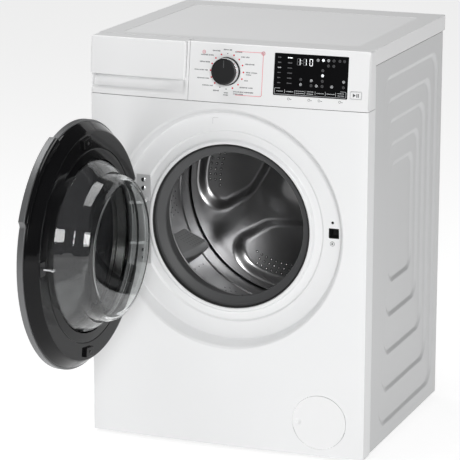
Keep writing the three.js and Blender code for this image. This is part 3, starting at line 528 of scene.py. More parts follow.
def filled(outline, holes, surface, step):
    """Triangles that fill the outline round its holes, as (points, faces) on surface(u, v)."""
    loops = [outline, *holes]
    corners = [tuple(point) for loop in loops for point in loop]
    edges = []
    start = 0
    for loop in loops:
        edges += [(start + i, start + (i + 1) % len(loop)) for i in range(len(loop))]
        start += len(loop)
    low, high = np.min(outline, axis=0), np.max(outline, axis=0)
    columns = np.linspace(low[0], high[0], max(2, round((high[0] - low[0]) / step)) + 1)[1:-1]
    rows = np.linspace(low[1], high[1], max(2, round((high[1] - low[1]) / step)) + 1)[1:-1]
    grid = np.array([(a, b) for a in columns for b in rows]).reshape(-1, 2)
    if len(grid):
        keep = inside(grid, outline)
        for hole in holes:
            keep &= ~inside(grid, hole)
        grid = grid[keep]
        edge_points = np.array(corners)
        clear = [np.min(np.hypot(*(edge_points - point).T)) > 0.45 * step for point in grid]
        grid = grid[np.array(clear, bool)] if len(grid) else grid
    flat = [Vector(point) for point in corners] + [Vector(point) for point in grid]
    verts, _, faces, _, _, _ = delaunay_2d_cdt(flat, edges, [], 0, 1e-5)
    centres = np.array([np.mean([verts[i][:] for i in face], axis=0) for face in faces])
    keep = inside(centres, outline)
    for hole in holes:
        keep &= ~inside(centres, hole)
    kept = [tuple(face) for face, wanted in zip(faces, keep) if wanted]
    return [surface(*point) for point in verts], kept


def stitched(*parts):
    """Several (points, faces) as one."""
    points, faces = [], []
    for part_points, part_faces in parts:
        start = len(points)
        points += part_points
        faces += [tuple(start + i for i in face) for face in part_faces]
    return points, faces


def circle(radius, centre, steps=180, start=0.0):
    return [(centre[0] + radius * math.cos(start + 2 * math.pi * i / steps),
             centre[1] + radius * math.sin(start + 2 * math.pi * i / steps)) for i in range(steps)]


def rounded_rectangle(x, z, radius, steps=5, inset=0.0):
    (x0, x1), (z0, z1) = (x[0] + inset, x[1] - inset), (z[0] + inset, z[1] - inset)
    return rounded([(x0, z0, radius), (x1, z0, radius), (x1, z1, radius), (x0, z1, radius)], steps)


def between(first, second, share):
    return tuple(a + (b - a) * share for a, b in zip(first, second))


def smooth_step(value):
    value = min(1.0, max(0.0, value))
    return value * value * (3 - 2 * value)


def spaced(low, high, step):
    count = max(1, round(abs(high - low) / step))
    return [low + (high - low) * i / count for i in range(count + 1)]


# ---- The bowed front ------------------------------------------------------------------------

FORWARD = (0, -1, 0)
CORNER_X = HALF_WIDTH - CORNER_RADIUS


def bow(x):
    return -FRONT_BOW * (1 - (x / HALF_WIDTH) ** 2)


CORNER_Y = bow(CORNER_X) + CORNER_RADIUS
CORNER_LENGTH = CORNER_RADIUS * math.pi / 2
WRAP_END = CORNER_X + CORNER_LENGTH + FRONT_RETURN - CORNER_Y


def wrap(u, inset=0.0):
    """(x, y) at distance u from the middle along the front, its round corners and its sides."""
    side = math.copysign(1, u)
    along = abs(u)
    if along <= CORNER_X:
        return u, bow(u) + inset
    turn = min(1.0, (along - CORNER_X) / CORNER_LENGTH) * math.pi / 2
    radius = CORNER_RADIUS - inset
    x = CORNER_X + radius * math.sin(turn)
    y = CORNER_Y - radius * math.cos(turn) + max(0.0, along - CORNER_X - CORNER_LENGTH)
    return side * x, y


def wrap_stops(low, high, step=10):
    """Distances along the front from low to high, close together round the corners."""
    stops = set(spaced(max(low, -CORNER_X), min(high, CORNER_X), step))
    for side in (-1, 1):
        for i in range(1, 7):
            stops.add(side * (CORNER_X + CORNER_LENGTH * i / 6))
        stops.update(side * along for along in spaced(CORNER_X + CORNER_LENGTH, WRAP_END, step))
    stops.update((low, high))
    return sorted(u for u in stops if low <= u <= high)


def front_outline(low, high, bottom, top, step):
    """The edge of a rectangle laid on the front, with stops along it as (distance, z)."""
    across = wrap_stops(low, high)
    up = spaced(bottom, top, step)
    outline = [(u, bottom) for u in across] + [(high, z) for z in up[1:]]
    return outline + [(u, top) for u in reversed(across[:-1])] + [(low, z) for z in reversed(up[1:-1])]


def leaned(y, z):
    """The fascia's front leans back with height, and its back edge stays."""
    height = max(0.0, (z - FASCIA_BOTTOM) / (HEIGHT - FASCIA_BOTTOM))
    return y + FASCIA_LEAN * height * max(0.0, (FRONT_RETURN - y) / FRONT_RETURN)


def on_front(u, z):
    x, y = wrap(u)
    return x, y, z


def on_fascia(u, z, out=0.0):
    x, y = wrap(u)
    return x, leaned(y, z) - out, z


# ---- Front panel ----------------------------------------------------------------------------


def recess_surface(radius, y, angle):
    x, z = radius * math.cos(angle), radius * math.sin(angle)
    share = smooth_step((radius - 238) / 12)
    return x, y + bow(x) * share, PORT_Z + z


def recess_band(path, steps=240):
    points = [recess_surface(radius, y, 2 * math.pi * s / steps) for s in range(steps) for radius, y in path]
    return points, ring_faces(len(path), steps, False)


def front_panel():
    steps = 240
    plate_edge, floor_out, floor_in = 258, 234, 203
    flap = circle(FLAP_RADIUS + 0.9, (FLAP_X, FLAP_Z), 120)
    outline = front_outline(-WRAP_END, WRAP_END, PANEL_BOTTOM, FASCIA_BOTTOM - SEAM - 0.3, 20)
    face = filled(outline, [circle(plate_edge, (0, PORT_Z), steps), flap], on_front, 14)
    slope = rounded([(plate_edge, 0, 0), (251.5, 0, 5), (246.5, 3.5, 4), (238.5, PORT_FLOOR, 7),
                     (floor_out, PORT_FLOOR, 0)], 6, False)
    slot = rounded_rectangle((LOCK_X - 11.5, LOCK_X + 11.5), (LOCK_Z - 10.5, LOCK_Z + 10.5), 1.5)
    hole = circle(3, (220, 494.6), 24)
    floor = filled(circle(floor_out, (0, PORT_Z), steps), [circle(floor_in, (0, PORT_Z), steps), slot, hole],
                   lambda x, z: (x, PORT_FLOOR, z), 12)
    mouth = rounded([(floor_in, PORT_FLOOR, 0), (201.2, PORT_FLOOR, 1.5), (197.6, PORT_FLOOR + 3.4, 2),
                     (182.5, PORT_FLOOR + 3.0, 3), (178.5, MOUTH_FRONT, 2.6), (172.0, MOUTH_FRONT, 2.6),
                     (171.6, PORT_FLOOR + 3, 0)], 6, False)
    shape = stitched(face, recess_band(slope), floor, recess_band(mouth))
    skin = sheet("front_skin", shape, FORWARD, 1.3, 0.5, 55)
    dressed(skin, "paint", "cabinet", "white_paint", ["front_panel"])


# ---- Fascia ---------------------------------------------------------------------------------

TOP_ROUND = 3.2


def fascia_top(low, high):
    """The fascia's rounded top edge and its top, between two distances along the front."""
    stops = wrap_stops(low, high)
    steps = 6
    points = []
    for i in range(steps + 1):
        turn = math.pi / 2 * i / steps
        inset, z = TOP_ROUND * (1 - math.cos(turn)), HEIGHT - TOP_ROUND + TOP_ROUND * math.sin(turn)
        for u in stops:
            x, y = wrap(u, inset)
            points.append((x, leaned(y, z), z))
    points += [(x, FRONT_RETURN, HEIGHT) for x, _, _ in points[-len(stops):]]
    return points, grid_faces(len(stops), steps + 2)


def fascia_face(low, high, bottom, top, holes, surface=on_fascia, step=9):
    return filled(front_outline(low, high, bottom, top, 12), holes, surface, step)


def control_fascia():
    low, high = DRAWER_SEAM + SEAM, WRAP_END
    window = rounded_rectangle(DISPLAY_X, DISPLAY_Z, 2)
    button = rounded_rectangle(BUTTON_X, BUTTON_Z, 2.5)
    shaft = circle(7, (0, KNOB_Z), 32)
    face = fascia_face(low, high, FASCIA_BOTTOM + 0.3, HEIGHT - TOP_ROUND, [window, button, shaft])
    panel = sheet("control_fascia", stitched(face, fascia_top(low, high)), FORWARD, 2.2, 0.45, 55)
    dressed(panel, "plastic", "cabinet", "white_plastic", ["control_panel"])


def scoop_depth(x, z):
    """How far the finger scoop under the drawer is let in."""
    rise = 0.5 * smooth_step((z - SCOOP_BOTTOM) / 4) + 0.5 * smooth_step((z - SCOOP_BOTTOM - 3) / 27)
    fade = smooth_step((DRAWER_RIGHT - 6 - x) / 62)
    return 22 * rise * (0.25 + 0.75 * fade) * smooth_step((DRAWER_RIGHT - 1.5 - x) / 5)


def drawer_surround():
    def surface(u, z):
        x, y, z = on_fascia(u, z)
        return x, y + (scoop_depth(x, z) if abs(u) <= CORNER_X + CORNER_LENGTH * 0.5 else 0.0), z

    low, high = -WRAP_END, DRAWER_SEAM - SEAM
    ledge = fascia_face(low, high, FASCIA_BOTTOM + 0.3, 778, [], surface, 3)
    strip = fascia_face(DRAWER_RIGHT + 0.4, high, 778, HEIGHT - TOP_ROUND, [])
    shape = stitched(ledge, strip, fascia_top(DRAWER_RIGHT + 0.4, high))
    surround = sheet("drawer_surround_shell", shape, FORWARD, 2.0, 0.4, 55, even=False)
    dressed(surround, "plastic", "cabinet", "white_plastic", ["drawer_surround"])
    lid = rounded_box("drawer_tunnel_lid", (-HALF_WIDTH + 1, DRAWER_RIGHT), (9, 43), (843.5, 846), 0.6)
    dressed(lid, "plastic", "cabinet", "white_plastic")


def drawer_front():
    """The drawer's cap: a leaned front with soft edges, and its returns along the side and top."""
    proud, edge = 7.5, 3.4
    bottom, top = DRAWER_BOTTOM, HEIGHT - 0.4
    low, high = -WRAP_END + 1, DRAWER_RIGHT - 0.4

    def surface(u, z, inset=0.0):
        x, y = wrap(u, inset)
        return x, leaned(y, z) - proud * smooth_step((FRONT_RETURN - y) / 30), z

    stops = wrap_stops(low, high - edge, 8)
    loops = []
    for i in range(6):
        turn = math.pi / 2 * i / 5
        loops.append((edge * (1 - math.sin(turn)), bottom + edge * (1 - math.cos(turn))))
    loops += [(0.0, z) for z in spaced(bottom + edge, top - edge, 10)[1:]]
    for i in range(1, 7):
        turn = math.pi / 2 * i / 6
        loops.append((edge * (1 - math.cos(turn)), top - edge + edge * math.sin(turn)))
    points = []
    for inset, z in loops:
        row = [surface(u, z, inset) for u in stops]
        for i in range(1, 7):
            turn = math.pi / 2 * i / 6
            x, y, _ = surface(high - edge + edge * math.sin(turn) - inset * math.sin(turn), z, inset)
            row.append((x, y + (edge - inset) * (1 - math.cos(turn)), z))
        row.append((high - inset, FRONT_RETURN - 22, z))
        points += row
    count = len(stops) + 7
    faces = grid_faces(count, len(loops))
    start = len(points)
    last = points[-count:]
    points += [(x, max(y, FRONT_RETURN - 1.0), z) for x, y, z in last[:-1]]
    base = (len(loops) - 1) * count
    faces += [(base + k, base + k + 1, start + k + 1, start + k) for k in range(count - 2)]
    under = len(points)
    points += [(x, max(y, FRONT_RETURN - 22), z) for x, y, z in points[:count]]
    faces += [(k, under + k, under + k + 1, k + 1) for k in range(count - 1)]
    cap = sheet("drawer_front_cap", (points, faces), FORWARD, 2.2, 0.4, 60, even=False, smooth_angle=60)
    dressed(cap, "plastic", "detergent_drawer", "white_plastic", ["drawer_front"])


# ---- Printed marks and controls -------------------------------------------------------------


def printed(name, outlines, look, body="cabinet", surface=on_fascia):
    """Thin solid patches that lie on the fascia: each outline is a list of (x, z)."""
    out, thick = 0.12, 0.3
    parts = []
    for outline in outlines:
        count = len(outline)
        front = [surface(x, z, out) for x, z in outline]
        back = [surface(x, z, out - thick) for x, z in outline]
        faces = [tuple(range(count)), tuple(range(2 * count - 1, count - 1, -1))]
        faces += [(i, (i + 1) % count, count + (i + 1) % count, count + i) for i in range(count)]
        parts.append((front + back, faces))
    dressed(mesh_object(name, *stitched(*parts), 30), look, body)


def dash(x, z, width, height=1.3):
    half = height / 2
    return rounded_rectangle((x, x + width), (z - half, z + half), half * 0.8, 2)


def stroke(points, width, closed=False):
    """An outline of even width along a path, as quads end to end."""
    quads = []
    ends = points[1:] + points[:1] if closed else points[1:]
    for (x0, z0), (x1, z1) in zip(points, ends):
        length = math.hypot(x1 - x0, z1 - z0)
        if length < 1e-6:
            continue
        ux, uz = (x1 - x0) / length, (z1 - z0) / length
        nx, nz = -uz * width / 2, ux * width / 2
        ex, ez = ux * width * 0.3, uz * width * 0.3
        quads.append([(x0 - ex - nx, z0 - ez - nz), (x1 + ex - nx, z1 + ez - nz),
                      (x1 + ex + nx, z1 + ez + nz), (x0 - ex + nx, z0 - ez + nz)])
    return quads


DIAL_LABELS = {
    0: (11, 5), 1: (15,), 2: (9, 8), 3: (20,), 4: (9, 13), 5: (9,), 6: (17, 9), 7: (22, 19), 8: (9,),
    9: (12,), 10: (14, 7), 11: (16, 8), 12: (9, 11, 6), 13: (11, 9), 14: (15, 12), 15: (17,),
}
SECOND_LINES = {4: (11,), 7: (21,), 8: (11,)}


def dial_marks():
    """Sixteen stops round the dial, with plain bars in place of their labels."""
    red, grey, bars = [], [], []
    random.seed(3)
    for stop in range(16):
        angle = math.radians(90 - 22.5 * stop)
        x, z = 35.5 * math.cos(angle), KNOB_Z + 35.5 * math.sin(angle)
        dots, size = (grey, 1.1) if stop in (0, 8, 9) else (red, 1.75)
        dots.append(circle(size, (x, z), 14))
        label_x, label_z = 41 * math.cos(angle), KNOB_Z + 43 * math.sin(angle)
        for line, words in enumerate((DIAL_LABELS[stop], SECOND_LINES.get(stop, ()))):
            if not words:
                continue
            total = sum(words) + 1.6 * (len(words) - 1)
            middle = abs(math.cos(angle)) < 0.1
            left = label_x - (total / 2 if middle else total if math.cos(angle) < 0 else 0)
            for word in words:
                cursor = left
                while cursor < left + word - 0.6:
                    width = min(random.uniform(1.1, 1.9), left + word - cursor)
                    bars.append(dash(cursor, label_z - 4.4 * line, width, random.choice((2.1, 2.1, 2.9))))
                    cursor += width + 0.5
                left += word + 1.6
    printed("dial_dots_red", red, "ink_red")
    printed("dial_dots_grey", grey, "ink_dark")
    printed("dial_label_bars", bars, "ink_grey")
    top, bottom, left, right = KNOB_Z + 41, KNOB_Z - 46, 20, 76
    line = rounded([(left, top, 0), (right, top, 4), (right, bottom, 4), (left, bottom, 0)], 5, False)
    ring = stroke(circle(3.4, (right, top - 1), 24), 1.1, True)
    ring += stroke(circle(1.3, (right, top - 1), 12), 0.9, True)
    printed("programme_bracket", stroke(line, 1.0) + ring, "ink_pink")
    mark = (-51, KNOB_Z + 36)
    printed("dial_round_mark", stroke(circle(3.0, mark, 24), 1.1, True) + [circle(1.0, mark, 12)], "ink_pink")


def program_dial():
    """The knob: a black skirt, a bright chamfer ring and a dark face with its pointer."""
    lean = math.atan(FASCIA_LEAN / (HEIGHT - FASCIA_BOTTOM))
    centre_y = leaned(bow(0), KNOB_Z)

    def seated(obj):
        pivot = Vector((0, centre_y + FRONT_Y, KNOB_Z)) * MM
        tilt = Matrix.Translation(pivot) @ Matrix.Rotation(-lean, 4, "X") @ Matrix.Translation(-pivot)
        obj.data.transform(tilt)
        return obj

    def at(path):
        return [(radius, y + centre_y) for radius, y in path]

    skirt = rounded([(24, -1.0, 0.3), (KNOB_RADIUS, -1.0, 0.4), (KNOB_RADIUS - 0.4, -5, 1.2),
                     (24, -5, 0.3)], 4)
    band = rounded([(24, -5.2, 0.2), (KNOB_RADIUS - 1.6, -5.2, 0.8), (26.9, -KNOB_REACH + 3.4, 0.3),
                    (24, -KNOB_REACH + 3.4, 0.2)], 4)
    face = rounded([(0, -KNOB_REACH + 0.5, 0), (23.5, -KNOB_REACH + 0.3, 2), (26.7, -KNOB_REACH + 1.2, 1.2),
                    (26.8, -KNOB_REACH + 3.3, 0.3), (0, -KNOB_REACH + 4, 0)], 5, False)
    shaft = [(0, -2), (5, -2), (5, 12), (0, 12)]
    for name, path, look, slot, replaces, closed in (
        ("dial_skirt", skirt, "black", "black_gloss", ["program_knob"], True),
        ("dial_ring", band, "silver", "rim_silver", (), True),
        ("dial_face", face, "black_satin", "black_gloss", (), False),
        ("dial_shaft", shaft, "grey", "grey_plastic", (), False),
    ):
        obj = turned(name, at(path), 120, (0, KNOB_Z), closed)
        dressed(seated(obj), look, "program_dial", slot, replaces)
    front = centre_y - KNOB_REACH
    pointer = rounded_box("dial_pointer", (-0.45, 0.45), (front + 0.2, front + 1.5),
                          (KNOB_Z + 8, KNOB_Z + 23), 0.2, 2)
    dressed(seated(pointer), "ink_grey", "program_dial")


SEGMENTS = {  # the bars of a seven-bar figure: (from, to) in units of its half width and half height
    "a": ((-1, 1), (1, 1)), "b": ((1, 1), (1, 0)), "c": ((1, 0), (1, -1)), "d": ((-1, -1), (1, -1)),
    "e": ((-1, 0), (-1, -1)), "f": ((-1, 1), (-1, 0)), "g": ((-1, 0), (1, 0)),
}
FIGURES = {"0": "abcdef", "1": "bc"}


def figure(character, x, z, lit=True):
    half_width, half_height = 2.9, 6.4
    wanted = FIGURES[character] if lit else [s for s in SEGMENTS if s not in FIGURES[character]]
    bars = []
    for name in wanted:
        (x0, z0), (x1, z1) = SEGMENTS[name]
        a = (x + x0 * half_width, z + z0 * half_height)
        b = (x + x1 * half_width, z + z1 * half_height)
        bars += stroke([between(a, b, 0.12), between(b, a, 0.12)], 0.95)
    return bars


def text_bars(x, z, width, height=1.0):
    """A word's worth of short bars, centred at x."""
    bars = []
    cursor = x - width / 2
    while cursor < x + width / 2 - 0.4:
        step = min(random.uniform(0.9, 1.6), x + width / 2 - cursor)
        bars.append(dash(cursor, z, step, height * random.choice((1.0, 1.0, 1.4))))
        cursor += step + 0.35
    return bars


def display():
    def on_pane(u, z, out=0.0):
        return on_fascia(u, z, out - 0.25)

    window = rounded_rectangle(DISPLAY_X, DISPLAY_Z, 1.8, inset=0.3)
    pane = sheet("display_pane", filled(window, [], on_pane, 10), FORWARD, 2.2, 0.3)
    dressed(pane, "black", "cabinet", "display_glass", ["display_window"])
    random.seed(11)
    (left, right), (bottom, top) = DISPLAY_X, DISPLAY_Z
    bright, half, dim = [], [], []
    for digit, x in (("1", 151), ("1", 164), ("0", 177)):
        bright += figure(digit, x, top - 15.5)
        dim += figure(digit, x, top - 15.5, lit=False)
    half += [circle(0.7, (157.5, top - 13), 10), circle(0.7, (157.5, top - 18), 10)]
    for row in range(6):
        z = top - 8.5 - 10.1 * row
        (half if row == 2 else dim).extend(text_bars(left + 11, z, 6.5, 1.8))
        (bright if row == 0 else dim).extend(text_bars(left + 33, z, 9.5, 1.9))
    icons = ((191, 10, half), (202, 9.5, bright), (213, 9.5, half), (224, 9.5, dim), (236, 9.5, dim),
             (246, 9.5, dim), (213, 20, dim), (224, 20, dim), (202, 30, dim), (202, 40, bright),
             (202, 51, dim), (202, 61, dim), (179, 51, half), (179, 61, dim), (190, 61, half),
             (157, 50, dim), (157, 60, half), (222, 61, half), (246, 50, half), (246, 61, dim))
    for x, drop, group in icons:
        z = top - drop
        group += stroke(circle(2.3, (x, z), 14), 0.8, True)
        group += [circle(0.9, (x, z), 8)]
    strip_top, strip_bottom = bottom + 14.5, bottom + 2.5
    frame_line = rounded_rectangle((left + 3, right - 3), (strip_bottom, strip_top), 1.5, 3)
    dim_lines = stroke(frame_line, 0.55, True)
    cell = (right - left - 6) / 7
    for i in range(7):
        x = left + 3 + cell * (i + 0.5)
        if i:
            dim_lines += stroke([(x - cell / 2, strip_bottom + 2.5), (x - cell / 2, strip_top - 2.5)], 0.55)
        lines = (2.2, -2.2) if i in (2, 3, 6) else (0,)
        for line in lines:
            half += text_bars(x, (strip_bottom + strip_top) / 2 + line, cell - 8 + 2 * (i % 3), 1.1)

    printed("display_figures", bright, "lit", surface=on_pane)
    printed("display_icons", half, "lit_soft", surface=on_pane)
    printed("display_idle_icons", dim, "lit_dim", surface=on_pane)
    printed("display_strip_lines", dim_lines, "lit_soft", surface=on_pane)
    below = []
    for i in (1, 3, 4, 6):
        x = left + 3 + cell * (i + 0.5)
        below += stroke(circle(2.2, (x - 1.5, bottom - 6), 14), 0.7, True)
        below += [dash(x + 1.6, bottom - 6.6, 3.2, 1.0)]
    printed("long_press_icons", below, "ink_grey")


def start_key():
    def on_key(u, z, out=0.0):
        return on_fascia(u, z, out + 0.5)

    outline = rounded_rectangle(BUTTON_X, BUTTON_Z, 2.2, inset=0.4)
    cap = sheet("start_key_cap", filled(outline, [], on_key, 6), FORWARD, 3, 0.5)
    dressed(cap, "plastic", "start_key", "white_plastic", ["start_button"])
    middle_x, middle_z = sum(BUTTON_X) / 2, sum(BUTTON_Z) / 2
    edge = rounded_rectangle(BUTTON_X, BUTTON_Z, 2, inset=1.2)
    printed("start_key_outline", stroke(edge, 0.8, True), "ink_pale", "start_key", surface=on_key)
    triangle = [(middle_x - 6, middle_z - 3.8), (middle_x - 0.2, middle_z), (middle_x - 6, middle_z + 3.8)]
    glyph = [triangle]
    for offset in (2.2, 5.2):
        glyph += stroke([(middle_x + offset, middle_z - 3.1), (middle_x + offset, middle_z + 3.1)], 1.7)
    printed("start_key_glyph", glyph, "ink_dark", "start_key", surface=on_key)


# ---- Cabinet --------------------------------------------------------------------------------

SIDE_FIELDS = (
    ((100, 484), (39.5, 783)), ((130, 452), (105, 733)), ((155, 425), (180, 685)),
    ((178, 398), (257, 633)), ((205, 371), (326, 587)),
)
FIELD_DROP = 4.2
FIELD_RAMP = 12


def field_loop(x, y, z, radius, steps=8):
    loop = []
    middle_y, middle_z = sum(y) / 2, sum(z) / 2
    for quarter, (cy, cz) in enumerate(((y[1], z[1]), (y[0], z[1]), (y[0], z[0]), (y[1], z[0]))):
        cy -= math.copysign(radius, cy - middle_y)
        cz -= math.copysign(radius, cz - middle_z)
        for i in range(steps + 1):
            angle = (quarter + i / steps) * math.pi / 2
            loop.append((x, cy + radius * math.cos(angle), cz + radius * math.sin(angle)))
    return loop


def side_panel(side, name, node):
    """A pressed side: five fields inside each other, each let in with a soft step."""
    edge_y, edge_z = (FRONT_RETURN + 0.9, BODY_BACK), (PANEL_BOTTOM + 3, WORKTOP_BOTTOM - 0.8)
    loops = [field_loop(HALF_WIDTH, edge_y, edge_z, 0.5)]
    for level, (y, z) in enumerate(SIDE_FIELDS):
        radius = 40 - 3 * level
        for i in range(9):
            share = i / 8
            inset = FIELD_RAMP * share
            x = HALF_WIDTH - FIELD_DROP * (level + smooth_step(share))
            loops.append(field_loop(x, (y[0] + inset, y[1] - inset), (z[0] + inset, z[1] - inset), radius))
    count = len(loops[0])
    points = [(side * x, y, z) for loop in loops for x, y, z in loop]
    faces = grid_faces(count, len(loops), True) + [tuple(range(len(points) - count, len(points)))]
    panel = sheet(name, (points, faces), (side, 0, 0), 1.3, 0.5, 55)
    # The darker side paint is painted shade: the same white paint as the front, shaded for the side.
    dressed(panel, "shaded_side_paint", "cabinet", "white_paint", [node])


def upright(loop, z_high, z_low):
    """A wall that stands on a level loop of (x, y)."""
    points = [(x, y, z) for z in (z_high, z_low) for x, y in loop]
    return points, grid_faces(len(loop), 2, True)


def worktop():
    """The moulded frame with its raised rear border, and the board let into it."""
    front, back = FRONT_RETURN + 0.5, WORKTOP_BACK
    outer = rounded([(-HALF_WIDTH, front, 0.6), (HALF_WIDTH, front, 0.6), (HALF_WIDTH, back, 8),
                     (-HALF_WIDTH, back, 8)], 6)
    board = rounded([(-255.6, 70, 2), (255.6, 70, 2), (255.6, 474, 2), (-255.6, 474, 2)], 4)
    top = filled(outer, [board], lambda x, y: (x, y, HEIGHT), 22)
    shape = stitched(top, upright(outer, HEIGHT, WORKTOP_BOTTOM + 0.2), upright(board, HEIGHT, HEIGHT - 2.5))
    border = sheet("worktop_moulding", shape, (0, 0, 1), 2.0, 1.4, segments=4)
    dressed(border, "plastic", "cabinet", "white_plastic", ["worktop_frame"])
    shrunk = [(x - math.copysign(0.55, x), y - math.copysign(0.55, y - 272)) for x, y in board]
    shape = filled(shrunk, [], lambda x, y: (x, y, HEIGHT - 0.35), 24)
    plate = sheet("worktop_inset_board", shape, (0, 0, 1), 8, 0.5)
    dressed(plate, "laminate", "cabinet", "worktop_laminate", ["worktop_board"])
    curb = rounded_box("worktop_rear_border", (-HALF_WIDTH + 6, HALF_WIDTH - 6), (492, 536),
                       (HEIGHT - 3, HEIGHT - 0.02), 1.2)
    dressed(curb, "plastic", "cabinet", "white_plastic")


def recess_marks():
    def on_floor(x, z, out):
        return x, PORT_FLOOR - out, z

    def on_slope(x, z, out):
        radius = math.hypot(x, z - PORT_Z)
        return x, PORT_FLOOR - out - 0.2 * max(0.0, radius - 234), z

    lock = stroke(circle(4.6, (220, 451), 24), 0.8, True)
    lock += [rounded_rectangle((218, 222), (449, 452), 0.5, 2)]
    lock += stroke([(218.9, 452), (218.9, 453.4), (221.1, 453.4), (221.1, 452)], 0.7)
    printed("lock_symbol", lock, "ink_grey", surface=on_floor)
    # The corner mark is moulded; its faint grey line is painted shade, not ink.
    corner = rounded([(-40, 680, 0), (-40, 693, 3), (-28, 693, 0)], 4, False)
    printed("recess_corner_mark", stroke(corner, 0.9), "moulded_mark_painted_shade", surface=on_slope)


def filter_cover():
    dimple_x, dimple_z = FLAP_X - 44.5, FLAP_Z - 1.5

    def surface(x, z):
        away = math.hypot(x - dimple_x, z - dimple_z)
        pressed = 2.4 * (1 - smooth_step((away - 2.5) / 3.8))
        return x, bow(x) + pressed, z

    shape = filled(circle(FLAP_RADIUS, (FLAP_X, FLAP_Z), 120), [], surface, 2.2)
    disc = sheet("filter_cover_disc", shape, FORWARD, 2.6, 0.5, segments=3)
    dressed(disc, "plastic", "filter_cover", "white_plastic", ["filter_flap"])


# ---- Door -----------------------------------------------------------------------------------


def swung(obj):
    """Takes a piece drawn on the shut door to where the open door has it."""
    pivot = Vector((HINGE.x, HINGE.y + FRONT_Y, 0)) * MM
    turn = Matrix.Translation(pivot) @ Matrix.Rotation(-DOOR_SHUT, 4, "Z") @ Matrix.Translation(-pivot)
    obj.data.transform(turn)
    obj.data.update()
    return obj


def on_door(path):
    """Depths behind the rim's front, as y."""
    return [(a, DOOR_FRONT + s, *rest) for a, s, *rest in path]


def handle_swell(angle):
    """1 along the handle at the free side, 0 round the rest of the rim."""
    first, last = (math.radians(a) for a in HANDLE_ANGLES)
    fade = math.radians(1.6)
    return smooth_step((angle - first + fade) / fade) * smooth_step((last + fade - angle) / fade)


def lofted_ring(name, path_at, steps=360):
    """A ring round the port's axis whose section (radius, y) changes with the angle."""
    points = []
    for s in range(steps):
        angle = 2 * math.pi * s / steps
        path = path_at(angle)
        points += [(r * math.cos(angle), y, PORT_Z + r * math.sin(angle)) for r, y in path]
    return mesh_object(name, points, ring_faces(len(path), steps))


def door_rim():
    """The grey rim, swelling into the handle at the free side."""
    inner = DOOR_RADIUS - 14
    path = rounded(on_door([(inner, -2.0, 0.4), (DOOR_RADIUS - 1.6, -2.4, 0.8), (DOOR_RADIUS, -0.6, 0.8),
                            (DOOR_RADIUS, 10.9, 0.6), (inner, 10.9, 0.4)]), 4)

    def path_at(angle):
        grow = HANDLE_REACH * handle_swell(angle)
        return [(radius + grow * smooth_step((radius - inner - 6) / 6), y) for radius, y in path]

    dressed(swung(lofted_ring("door_rim_ring", path_at)), "rim", "door", "rim_silver", ["door_rim"])


def door_cover():
    """The outer cover: a smoked window in a glossy black surround."""
    edge, window = DOOR_RADIUS - 15.2, 168
    path = rounded(on_door([(window, -2.6, 0.3), (edge, -2.2, 1.2), (edge, 6.5, 0.8), (window, 6.5, 0.3)]), 4)
    surround = swung(turned("door_cover_surround", path, 240))
    dressed(surround, "black", "door", "black_gloss", ["door_outer_cover"])
    pane = rounded(on_door([(0, -3.6, 0), (90, -3.4, 0), (window - 0.4, -2.6, 0.3), (window - 0.4, 0.4, 0.3),
                            (90, -0.4, 0), (0, -0.6, 0)]), 3, False)
    dressed(swung(turned("door_cover_window", pane, 180, closed=False)), "smoked", "door", "display_glass")


def door_inner():
    """The black inner frame: a deep sloping wall, a flat face with a seam, and the seat of the glass."""
    deep = rounded(on_door([
        (DOOR_RADIUS - 3.5, 11.3, 0.6), (DOOR_RADIUS - 4.5, 14.5, 1), (232.5, 33.0, 1.5), (229.5, 36.0, 1.5),
        (226, 36.2, 0.5), (196, 36.4, 1), (195, 35.4, 0.5), (193.6, 36.6, 1), (178, 38.0, 2),
        (174.2, 38.4, 1.2), (174.2, 31.2, 1), (196, 30.4, 1), (224, 30.0, 2), (228, 28, 1),
        (238, 11.3, 0.6)]), 5)
    shallow = rounded(on_door([
        (DOOR_RADIUS - 3.5, 11.3, 0.6), (DOOR_RADIUS - 5.5, 13.5, 1), (236, 19.0, 1.5), (231.5, 20.6, 1.5),
        (226, 21.6, 0.5), (205, 24.6, 1), (203, 25.4, 0.5), (200, 27.0, 1), (180, 35.8, 2),
        (174.2, 38.4, 1.2), (174.2, 31.2, 1), (186, 30.2, 1), (205, 19.8, 2), (226, 15.4, 1),
        (238, 11.3, 0.6)]), 5)
    if len(deep) != len(shallow):
        raise ValueError("the two sections need the same number of points")

    def path_at(angle):
        share = 1 - smooth_step((abs(math.degrees(angle) - 180) - HINGE_NOTCH) / 3)
        return [between(first, second, share) for first, second in zip(deep, shallow)]

    ring = lofted_ring("door_inner_ring", path_at, 480)
    dressed(swung(ring), "black", "door", "black_gloss", ["door_inner_frame"])

    lip_deep = rounded(on_door([(244, 11.2, 0.5), (256.5, 11.2, 1.5), (256.5, 16.5, 2), (252.5, 18.5, 1.5),
                                (244, 18.5, 0.5)]), 4)
    lip_flat = rounded(on_door([(240, 9.8, 0.5), (245, 9.8, 1.5), (245, 10.5, 2), (244, 10.8, 1.5),
                                (240, 10.8, 0.5)]), 4)

    def lip_at(angle):
        share = handle_swell(angle)
        return [between(flat, full, share) for flat, full in zip(lip_flat, lip_deep)]

    dressed(swung(lofted_ring("door_handle_lip", lip_at)), "black", "door", "black_gloss")
    bead = rounded(on_door([(163, 9, 1), (173, 7.5, 1), (173, 11.2, 1), (163, 12.2, 1)]), 3)
    dressed(swung(turned("door_inner_bezel", bead, 200)), "black_satin", "door", "black_gloss")
    cone = rounded(on_door([(162, 3.5, 0.5), (166, 3.2, 0.5), (176, 30.2, 0.5), (172.5, 30.2, 0.5)]), 3)
    dressed(swung(turned("door_light_shield", cone, 200)), "black_satin", "door", "black_gloss")


